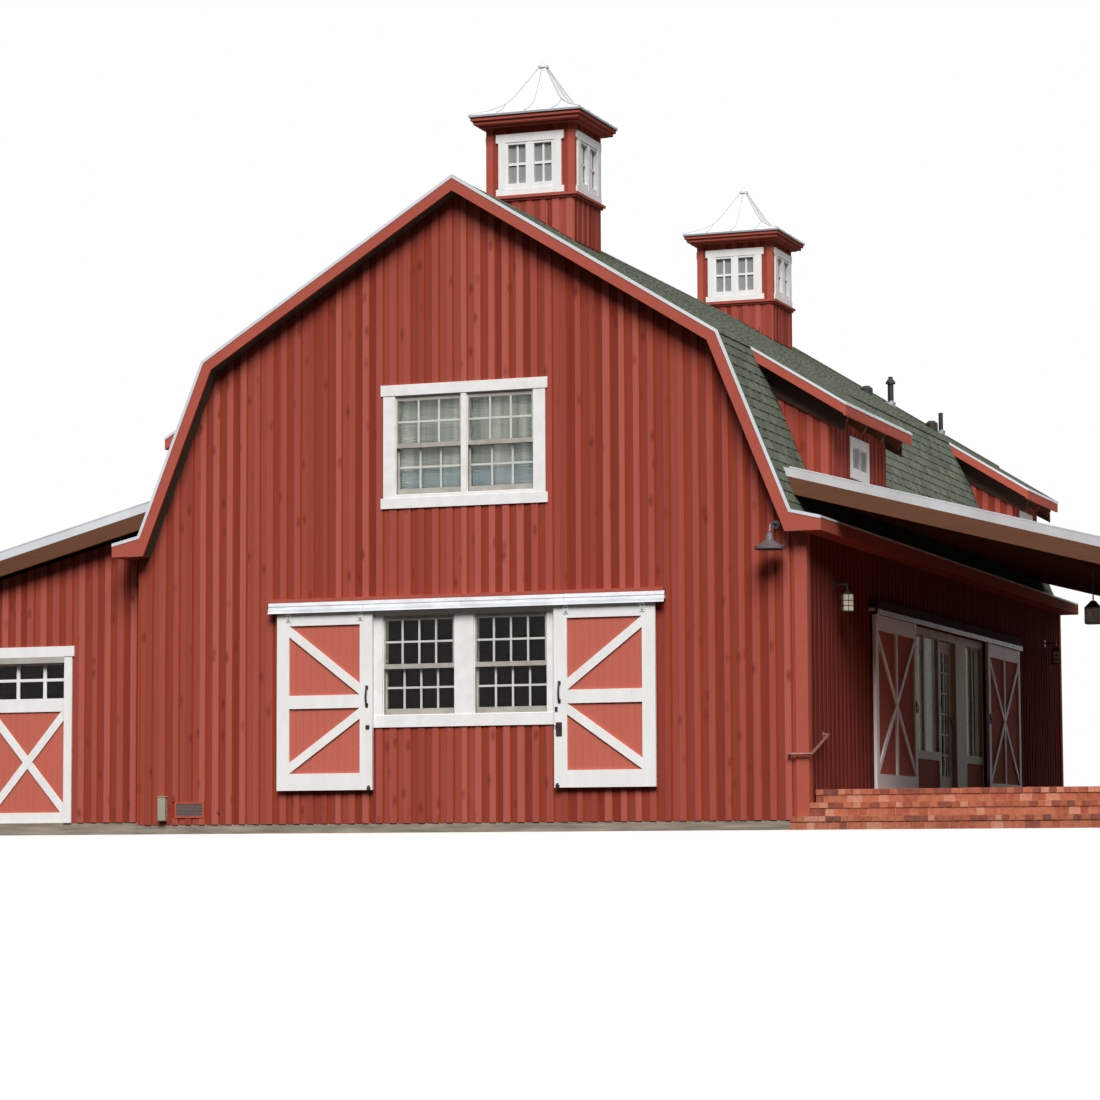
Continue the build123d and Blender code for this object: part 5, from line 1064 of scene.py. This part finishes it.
# Entry: a white-painted frame with a glazed door of two columns and six rows, and sidelights over
# red boarded panels, with an iron lever on the door.
DOOR_BACK, DOOR_THICK = 4.462, 0.045
DOOR_FACE = DOOR_BACK + DOOR_THICK
LITE_Y, LITE_Z = (7.090, 7.670), (0.812, 2.583)
entry = [plank((DOOR_FACE - 0.018, DOOR_FACE - 0.002), about(sum(LITE_Y) / 2, 0.014), LITE_Z)]
for i in range(1, 6):
    z = LITE_Z[0] + (LITE_Z[1] - LITE_Z[0]) * i / 6
    entry.append(plank((DOOR_FACE - 0.017, DOOR_FACE - 0.003), LITE_Y, about(z, 0.014)))
for x, y, z in (((0.0, 0.008), (7.760, 7.800), (1.500, 1.680)), ((0.008, 0.045), (7.772, 7.788), (1.600, 1.616)),
                ((0.036, 0.045), (7.660, 7.788), (1.598, 1.618))):
    entry.append(plank((DOOR_FACE + x[0], DOOR_FACE + x[1]), y, z, 1))
boards("entry_door_bars", entry, [porch_shade_white, iron], 0.002, body="entry_door_leaf")
panels = []
for span in ((5.315, 6.798), (8.487, 9.485)):
    for board in tongued(span, round((span[1] - span[0]) / 0.1)):
        panels.append(plank((4.542, 4.550), board, (0.615, 1.020)))
boards("entry_panels", panels, [door_stain], 0.001)


# Sidelight curtains: thin cloth gathered on a rod inside the entry frame, in even upright folds
# that hang clear of the door's swing. Its dark olive grey is painted shade.
# The cloth's dark olive grey is painted shade.
shaded_curtain_cloth = coated("curtain_cloth_painted_shade", "#4E4B3F", "#3E3C32", 0.9, patch=3.0, grain=300.0)
FOLD, FOLD_DEPTH, FOLD_STEPS = 0.085, 0.014, 8
CURTAIN_X, CURTAIN_Z, CURTAIN_ROWS = 4.436, (1.100, 2.780), 12
drop = CURTAIN_Z[1] - CURTAIN_Z[0]
for name, a, b in (("near", 5.290, 6.800), ("far", 8.500, 9.500)):
    verts = []
    columns = round((b - a) / FOLD * FOLD_STEPS)
    for r in range(CURTAIN_ROWS + 1):
        for c in range(columns + 1):
            y = a + (b - a) * c / columns
            wave = math.sin((y - a) / FOLD * math.tau + 0.3 * math.sin(r * 0.5))
            verts.append((CURTAIN_X + FOLD_DEPTH * wave, y, CURTAIN_Z[0] + drop * r / CURTAIN_ROWS))
    hung_sheet(f"{name}_sidelight_curtain", verts, columns, shaded_curtain_cloth)


# Garage door: one overhead leaf of four framed sections, red tongued boards under crossed white
# braces, and two groups of six small lights. A beige band fills the joint under the head.
dress(["garage_door_trim"], white_paint)
GARAGE_Y, GARAGE_Z = (0.360, 0.410), (0.170, GARAGE_HEAD)
garage_middle = sum(GARAGE_X) / 2
GARAGE_FIELDS = ((GARAGE_X[0] + 0.050, garage_middle - 0.075), (garage_middle + 0.075, GARAGE_X[1] - 0.050))
FIELD_Z, LIGHT_Z = (0.310, 1.664), (1.843, 2.300)
PANEL_Y = 0.380
leaf = [plank(x, GARAGE_Y, GARAGE_Z) for x in ((GARAGE_X[0], GARAGE_FIELDS[0][0]),
                                               (GARAGE_FIELDS[0][1], GARAGE_FIELDS[1][0]),
                                               (GARAGE_FIELDS[1][1], GARAGE_X[1]))]
for side, field in zip((-1, 1), GARAGE_FIELDS):
    for z in ((GARAGE_Z[0], FIELD_Z[0]), (FIELD_Z[1], LIGHT_Z[0]), (LIGHT_Z[1], GARAGE_Z[1])):
        leaf.append(plank(field, GARAGE_Y, z))
    leaf.append(plank(field, (PANEL_Y + TONGUE, GARAGE_Y[1]), FIELD_Z, 1))
    leaf += [plank(board, (PANEL_Y, PANEL_Y + TONGUE), FIELD_Z, 1) for board in tongued(field, 12)]
    for rising, inset in ((True, BRACE_FACE), (False, BRACE_FACE + 0.002)):
        leaf.append(brace("y", field, FIELD_Z, rising, 0.035, 0.108, (GARAGE_Y[0] + inset, PANEL_Y)))
    for reach in (0.290, 0.697):
        x = field[1] - reach if side > 0 else field[0] + reach
        leaf.append(plank(about(x, 0.026), (0.362, 0.379), LIGHT_Z))
    leaf.append(plank(field, (0.363, 0.378), (2.072, 2.112)))
boards("garage_leaf", leaf, [white_paint, door_stain], 0.002, ["garage_door"])
boards("garage_head_band", [plank(GARAGE_X, (0.262, 0.274), (GARAGE_HEAD, 2.401))], [sash_paint],
       0.001)


# Cupola roofs: bright coated steel, bell-shaped, with three upright seams on each side, rolled hips
# and a grey drip band. A turned cap ends each.
bright_metal = coated("bright_coated_steel", "#E4E5E9", "#D8DADE", 0.35, 0.1, patch=3.0, grain=30.0)
# Seams and hips are a darker copy of the roof's steel: painted shade that marks them.
seam_shade_metal = coated("seam_steel_painted_shade", "#C2BEBF", "#ACA8A9", 0.5, 0.2)
band_metal = coated("grey_drip_metal", "#A3A7AD", "#868A91", 0.5, 0.3)
dress(["cupola_roofs"], bright_metal)
REACH_X, REACH_Y, BELL_Z = 0.811, 0.770, 9.790
BELL = ((0.0, 1.0), (0.025, 1.0), (0.110, 0.725), (0.195, 0.55), (0.280, 0.445), (0.390, 0.35), (0.780, 0.06))


def bell_line(stop):
    """The bell's slope from the drip upwards as (share, height), cut where its share falls to stop."""
    points = []
    for (rise, share), (next_rise, next_share) in zip(BELL[1:], BELL[2:]):
        points.append((share, BELL_Z + rise))
        if next_share <= stop < share:
            part = (share - stop) / (share - next_share)
            return points + [(stop, BELL_Z + rise + part * (next_rise - rise))]
    return points + [(BELL[-1][1], BELL_Z + BELL[-1][0])]


SEAM_HALF, BAND_Z = 0.004, (BELL_Z - 0.010, BELL_Z + 0.018)
bell_seams = []
for middle in CUPOLAS:
    for sign in (-1, 1):
        for offset in (-0.5, 0.0, 0.5):
            for axis, base, reach, at in (("x", middle, REACH_Y, offset * REACH_X),
                                          ("y", 0.0, REACH_X, middle + offset * REACH_Y)):
                lower = [(base + sign * reach * share, z) for share, z in bell_line(abs(offset))]
                upper = [(u + sign * 0.007, z + 0.012) for u, z in lower]
                bell_seams.append((axis, lower + upper[::-1], *about(at, SEAM_HALF), 0))
        bell_seams.append(plank(about(0.0, REACH_X + 0.005), pair(sign, REACH_Y, REACH_Y + 0.005, middle), BAND_Z, 1))
        bell_seams.append(plank(pair(sign, REACH_X, REACH_X + 0.005), about(middle, REACH_Y), BAND_Z, 1))
boards("cupola_seams", bell_seams, [seam_shade_metal, band_metal], 0.002)
hips = bpy.data.curves.new("cupola_hips", "CURVE")
hips.dimensions = "3D"
hips.bevel_depth = 0.007
hips.bevel_resolution = 2
for middle in CUPOLAS:
    for sx in (-1, 1):
        for sy in (-1, 1):
            spline = hips.splines.new("POLY")
            line = bell_line(0.0)
            spline.points.add(len(line) - 1)
            for point, (share, z) in zip(spline.points, line):
                point.co = (sx * REACH_X * share, middle + sy * REACH_Y * share, z + 0.004, 1.0)
hips.materials.append(seam_shade_metal)
hip_rolls = placed("cupola_hips", hips)
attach(hip_rolls, "house")


# Cupola lights: slim white bars, two columns and two rows in each small sash, inside proud white
# casings with ears, nailed over the corner boards.
CUPOLA_LIGHTS, LIGHT_ROWS = ((-0.317, -0.060), (0.060, 0.317)), (8.862, 9.404)
CASING, EAR = (0.348, 0.458), 0.494
JAMB_Z, HEAD_Z, SILL_Z = (8.790, 9.434), (9.434, 9.552), (8.700, 8.790)


def facing(middle, sign, near, far, across, z):
    """One board on both of a cupola's faces towards a sign. near and far are out from the face, and
    across is measured from the face's middle."""
    return [plank(across, pair(sign, CUPOLA_Y + near, CUPOLA_Y + far, middle), z),
            plank(pair(sign, CUPOLA_X + near, CUPOLA_X + far), (middle + across[0], middle + across[1]), z)]


small_bars, casings = [], []
for middle in CUPOLAS:
    for sign in (-1, 1):
        for light in CUPOLA_LIGHTS:
            small_bars += facing(middle, sign, -0.028, -0.002, about(sum(light) / 2, 0.014), LIGHT_ROWS)
            small_bars += facing(middle, sign, -0.027, -0.003, light, about(sum(LIGHT_ROWS) / 2, 0.017))
        for z in (SILL_Z, HEAD_Z):
            casings += facing(middle, sign, 0.025, 0.034, (-EAR, EAR), z)
        for edge in (-1, 1):
            casings += facing(middle, sign, 0.025, 0.034, pair(edge, *CASING), JAMB_Z)
        casings += facing(middle, sign, 0.021, 0.030, (-0.030, 0.030), JAMB_Z)
boards("cupola_casings", casings, [white_paint], 0.002)
boards("cupola_glazing_bars", small_bars, [white_paint], 0.002)


# Roof vents and pipes: black-painted steel pipe in lead collars, one under a conical cap, and two
# round vents.
dark_metal = coated("dark_bronze_metal", "#35312E", "#23201E", 0.45, 0.3, patch=5.0, grain=90.0)
lead = coated("grey_lead_flashing", "#8B8F93", "#6F7377", 0.6, 0.3, patch=4.0, grain=50.0)
dress(["roof_vents", "porch_lanterns", "wall_lanterns"], dark_metal)
dress(["barn_lamp"], coated("pewter_lamp_enamel", "#6E6465", "#514A4B", 0.4, 0.2, patch=6.0, grain=90.0))


def turned(name, rounds, materials, sides=24):
    """Lathe-turned pieces: each has a centre, an axis turn and a (radius, height, material) line."""
    verts, faces, picks = [], [], []
    for centre, lean, profile in rounds:
        turn = Matrix.Translation(centre) @ Matrix.Rotation(lean, 4, "Y")
        first = len(verts)
        for radius, height, pick in profile:
            for i in range(sides):
                angle = 2 * math.pi * i / sides
                verts.append(tuple(turn @ Vector((radius * math.cos(angle), radius * math.sin(angle), height))))
        for ring in range(len(profile) - 1):
            for i in range(sides):
                j = (i + 1) % sides
                low, high = first + ring * sides, first + (ring + 1) * sides
                faces.append((low + i, low + j, high + j, high + i))
                picks.append(profile[ring + 1][2])
    made = mesh_piece(name, verts, faces, materials, picks)
    for polygon in made.data.polygons:
        polygon.use_smooth = True
    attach(made, "house")


lean = math.atan(UPPER_SLOPE)
collars = []
for x, y, radius in ((1.955, 14.500, 0.050), (2.709, 14.900, 0.038)):
    z = RIDGE_Z - UPPER_SLOPE * x
    collars.append((Vector((x, y, z - 0.004)), lean, ((radius + 0.060, 0.0, 0), (radius + 0.058, 0.008, 0),
                                                      (radius + 0.018, 0.030, 0), (radius + 0.004, 0.075, 0))))
turned("vent_collars", collars, [lead])


# Lanterns: bronze-painted cages of folded sheet, with seeded glass panes held by slim bars. They are
# screwed to the wall beside the doors or hung from the porch roof.
seeded_glass = coated("seeded_lantern_glass", "#DDD2BE", "#BDB29E", 0.3, patch=20.0, grain=60.0, depth=0.002)
WALL_LANTERN = ((0.060, 0.058, 0.062, 2.766, 2.969, 0), (0.004, 0.062, 0.066, 2.766, 2.969, 1),
                (0.062, 0.062, 0.066, 2.826, 2.834, 1), (0.062, 0.062, 0.066, 2.892, 2.900, 1),
                (0.066, 0.056, 0.067, 2.752, 2.768, 1))
PORCH_LANTERN = ((0.080, 0.083, 0.088, 2.547, 2.713, 0),)
panes = []


def cage(x, y, turn, parts):
    """Panes and bars on the four sides of a lantern: half width, inner and outer distance from its
    middle, low, high and material of each."""
    for k in range(4):
        across = Vector((math.cos(turn + k * math.pi / 2), math.sin(turn + k * math.pi / 2)))
        along = Vector((-across.y, across.x))
        for half, inside, outside, low, high, pick in parts:
            corners = [Vector((x, y)) + along * u + across * v
                       for u, v in ((-half, inside), (half, inside), (half, outside), (-half, outside))]
            panes.append(("z", [tuple(c) for c in corners], low, high, pick))


for y in (1.250, 14.040):
    cage(4.762, y, math.radians(30.0), WALL_LANTERN)
for index in (1, 6, 11):
    cage(7.830, 0.310 + index * (14.680 - 0.060) / 12, 0.0, PORCH_LANTERN)
boards("lantern_panes", panes, [seeded_glass, dark_metal])


# Handrail: a bare steel tube, bent in one length and gone rust brown, fixed to the wall beside the
# steps with round flanges.
# The rust's pale pink tone is partly rust and partly a painted highlight.
rust_and_highlight = coated("rust_steel_painted_highlight", "#A87468", "#744A40", 0.45, 0.3, patch=10.0, grain=110.0, depth=0.001)
dress(["step_handrail"], rust_and_highlight)


# Meter box and wall vent: a grey moulded box with a lid line, and a dark louvred vent in a red
# border. Both are screwed to the front wall near the ground.
grey_plastic = coated("grey_moulded_plastic", "#B0A793", "#9C9483", 0.6, patch=5.0, grain=120.0)
dress(["meter_box"], grey_plastic)
louvre_paint = coated("brown_louvre_paint", "#6B5452", "#544241", 0.6, 0.2, patch=9.0)
dress(["wall_vent"], louvre_paint)
boards("meter_box_lid", [plank((-4.248, -4.140), (-0.085, -0.076), (0.186, 0.482)),
                         plank((-4.252, -4.136), (-0.088, 0.0), (0.490, 0.504))],
       [grey_plastic], 0.003)
BORDER = 0.026
inside_z = (VENT_Z[0] + BORDER, VENT_Z[1] - BORDER)
vent = [plank(x, (-0.022, 0.0), z)
        for x, z in ((VENT_X, (inside_z[1], VENT_Z[1])), (VENT_X, (VENT_Z[0], inside_z[0])),
                     ((VENT_X[0], VENT_X[0] + BORDER), inside_z), ((VENT_X[1] - BORDER, VENT_X[1]), inside_z))]
vent.append(("y", disc(-3.400, 0.285, 0.020, 12), -0.018, 0.0, 1))
for i in range(8):
    z = 0.247 + i * 0.019
    vent.append(("x", ((-0.014, z + 0.010), (-0.020, z), (-0.018, z), (-0.012, z + 0.012)), -4.000, -3.630, 1))
boards("wall_vent_louvres", vent, [trim_stain, louvre_paint])
